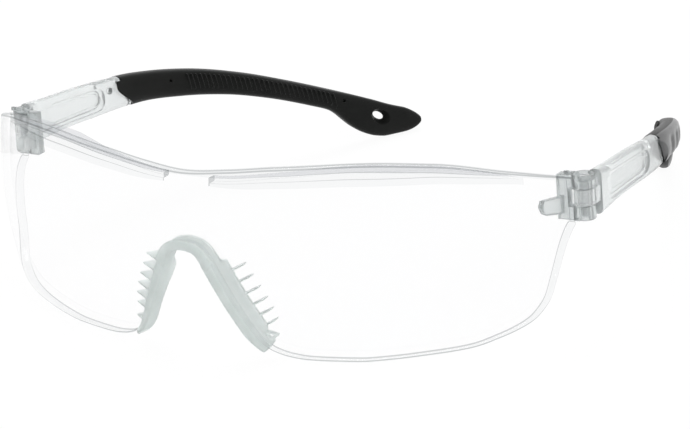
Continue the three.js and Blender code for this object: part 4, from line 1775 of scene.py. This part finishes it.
@dataclass
class Studio:
    """White floor, soft light and the camera."""

    camera_place: Triple = (459.3, -647.2, 288.6)
    camera_ahead: Triple = (-0.5158, 0.7983, -0.3109)
    camera_up: Triple = (-0.107, 0.3, 0.9479)
    focal_pixels: float = 3964.7
    image_width: int = 690
    sensor: float = 36.0
    floor_half: float = 4.0
    floor_drop: float = 0.0002
    floor_white: tuple[float, ...] = (0.9, 0.9, 0.9, 1.0)
    floor_glow: float = 0.94
    ceiling_heights: Pair = (0.45, 0.8)
    ceiling_color: Triple = (0.58, 0.59, 0.6)
    lamp_target: Triple = (0, 0, 0.02)
    clip: Pair = (0.02, 20.0)
    bounces: int = 24

    def camera(self) -> None:
        """Sets up the camera."""
        data = bpy.data.cameras.new("studio_camera")
        data.sensor_width = self.sensor
        data.sensor_fit = "HORIZONTAL"
        data.lens = self.focal_pixels * self.sensor / self.image_width
        data.clip_start, data.clip_end = self.clip
        turn = PLACE.to_3x3().normalized()
        ahead = (turn @ Vector(self.camera_ahead)).normalized()
        right = ahead.cross(turn @ Vector(self.camera_up)).normalized()
        pose = Matrix((right, right.cross(ahead), -ahead)).transposed().to_4x4()
        pose.translation = PLACE @ Vector(self.camera_place)
        camera = linked("studio_camera", data)
        camera.matrix_world = pose
        bpy.context.scene.camera = camera

    @staticmethod
    def seen_directly(nodes: Nodes) -> Socket:
        """Tells whether a ray comes from the camera, a mirror or clear plastic.

        Args:
            nodes: the tree that asks.

        Returns:
            The socket that is 1 for such rays and 0 for others.
        """
        rays = nodes.add("ShaderNodeLightPath").outputs
        total = rays["Is Camera Ray"]
        for word in ("Is Glossy Ray", "Is Transmission Ray"):
            total = nodes.add("ShaderNodeMath", {0: total, 1: rays[word]}, operation="MAXIMUM").outputs[0]
        return total

    def floor(self) -> None:
        """Makes the white floor, which keeps a faint shadow."""
        mesh = bpy.data.meshes.new("studio_floor")
        half, corners = self.floor_half, ((-1, -1), (1, -1), (1, 1), (-1, 1))
        mesh.from_pydata([(x * half, y * half, -self.floor_drop) for x, y in corners], [], [(0, 1, 2, 3)])
        floor = linked("studio_floor", mesh)
        material = bpy.data.materials.new("studio_white")
        material.use_nodes = True
        nodes = Nodes(material.node_tree)
        matt = nodes.add("ShaderNodeBsdfDiffuse", {"Color": self.floor_white}).outputs[0]
        glow = nodes.add("ShaderNodeEmission").outputs[0]
        seen = self.seen_directly(nodes)
        share = nodes.add("ShaderNodeMath", {0: seen, 1: self.floor_glow}, operation="MULTIPLY").outputs[0]
        blend = nodes.add("ShaderNodeMixShader", {0: share, 1: matt, 2: glow}).outputs[0]
        nodes.add("ShaderNodeOutputMaterial", {"Surface": blend})
        mesh.materials.append(material)
        floor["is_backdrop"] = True

    def world(self) -> None:
        """Sets up the surroundings: white all round, with a darker ceiling."""
        world = bpy.data.worlds.new("studio")
        bpy.context.scene.world = world
        world.use_nodes = True
        nodes = Nodes(world.node_tree)
        way = nodes.add("ShaderNodeTexCoord").outputs["Generated"]
        height = nodes.add("ShaderNodeSeparateXYZ", {0: way}).outputs["Z"]
        sky = nodes.colors(height, self.ceiling_heights, (1.0, 1.0, 1.0), self.ceiling_color)
        room = nodes.add("ShaderNodeBackground", {"Color": sky}).outputs[0]
        white = nodes.add("ShaderNodeBackground").outputs[0]
        seen = nodes.add("ShaderNodeLightPath").outputs["Is Camera Ray"]
        blend = nodes.add("ShaderNodeMixShader", {0: seen, 1: room, 2: white}).outputs[0]
        nodes.add("ShaderNodeOutputWorld", {"Surface": blend})

    def lamp(self, name: str, place: Triple, size: float, watts: float) -> None:
        """Adds a soft square lamp that shines at the glasses.

        Args:
            name: its name.
            place: where it hangs.
            size: its width in metres.
            watts: its power.
        """
        data = bpy.data.lights.new(name, "AREA")
        data.shape = "SQUARE"
        data.size = size
        data.energy = watts
        lamp = linked(name, data)
        lamp.location = place
        lamp.rotation_euler = (Vector(self.lamp_target) - Vector(place)).to_track_quat("-Z", "Y").to_euler()

    def build(self) -> None:
        """Sets up the whole studio."""
        scene = bpy.context.scene
        scene.view_settings.view_transform = "Standard"
        scene.cycles.max_bounces = scene.cycles.transmission_bounces = self.bounces
        self.camera()
        self.floor()
        self.world()
        self.lamp("lamp_over", (-0.2, 0.3, 1.1), 0.7, 7.0)
        self.lamp("lamp_side", (1.0, -0.5, 0.8), 0.5, 4.0)


# ---------------------------------------------------------------------------------------------------------------
# Putting the glasses together


class Assembly:
    """Brings finished pieces into the part's frame and ties them to its bodies."""

    def __init__(self) -> None:
        """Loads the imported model."""
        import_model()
        low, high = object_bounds()
        self.first_box = [list(low), list(high)]
        self.row = Row("copies_at_points")

    def finish(
        self, piece: Piece, name: str, finish: Finish, slot: str, body: str,
        replaced: Sequence[str] = (), side: Side = Side.LEFT, angle: float = 30, others: Sequence[Finish] = (),
    ) -> None:
        """Places a piece that was made in millimetres and dresses it.

        Args:
            piece: the piece, made for the wearer's left.
            name: its final name.
            finish: its finish.
            slot: the record's material slot that it belongs to; not used.
            body: the body that it moves with.
            replaced: nodes that it stands for.
            side: the side it goes to; the right gets the mirror image.
            angle: faces that meet at more than this many degrees keep a sharp edge.
            others: copies of the material with painted shade or painted sheen, for the faces that are marked 1, 2 and
                so on.
        """
        mesh = piece.data
        mesh.transform(PLACE @ Matrix.Diagonal((side.value, 1, 1, 1)))
        if side is Side.RIGHT:
            mesh.flip_normals()
        mesh.shade_smooth()
        mesh.set_sharp_from_angle(angle=math.radians(angle))
        mesh.materials.clear()
        for look in (finish, *others):
            mesh.materials.append(Palette.of(look))
        marks = np.zeros(len(mesh.polygons), np.int32)
        attribute = mesh.attributes.get(Skin.MARK)
        if attribute is not None:
            attribute.data.foreach_get("value", marks)
        mesh.polygons.foreach_set("material_index", marks)
        if attribute is not None:
            mesh.attributes.remove(attribute)
        piece.name = mesh.name = name
        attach(piece, body)
        if replaced:
            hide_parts(*replaced)
        LOG.info("%s: %d faces on %s", name, len(mesh.polygons), body)

    def build(self) -> None:
        """Makes every piece of the glasses."""
        self.finish(
            Lens().build(), "lens_shell", Finish.CLEAR_LENS, "clear_lens", "front", ["lens"],
            others=(Finish.CLEAR_BROW, Finish.CLEAR_EDGE, Finish.CLEAR_TOP),
        )
        self.finish(
            NosePiece().build(self.row), "nose_cushion", Finish.SOFT_CLEAR, "soft_clear", "front", ["nose_piece"],
            angle=50,
        )
        for side in Side:
            word, body = side.word, side.body
            self.finish(
                HingeBlock(side).build(), f"hinge_mount_{word}", Finish.CLEAR_HINGE, "frosted_clear", "front",
                [f"hinge_block_{word}"], side,
            )
            self.finish(
                HingeScrew(side).build(self.row), f"hinge_pin_{word}", Finish.STEEL, "screw_steel", "front",
                [f"hinge_screw_{word}"], side,
            )
            self.finish(
                TempleCore(side).build(), f"temple_bar_{word}", Finish.CLEAR_TEMPLE, "clear_temple", body,
                [f"temple_core_{word}"], side,
            )
            sleeve = TempleSleeve(side)
            self.finish(
                sleeve.build(), f"temple_grip_{word}", Finish.DARK_RUBBER, "dark_soft", body,
                [f"temple_sleeve_{word}"], side, 40, (Finish.WORN_RUBBER,),
            )
            self.finish(
                sleeve.rib_row(self.row), f"grip_ribs_{word}", Finish.DARK_RUBBER, "dark_soft", body,
                side=side, angle=50,
            )


def main() -> None:
    """Builds the studio and the glasses."""
    logging.basicConfig(level=logging.INFO, format="%(name)s: %(message)s")
    assembly = Assembly()
    Studio().build()
    assembly.build()


if __name__ == "__main__":
    main()
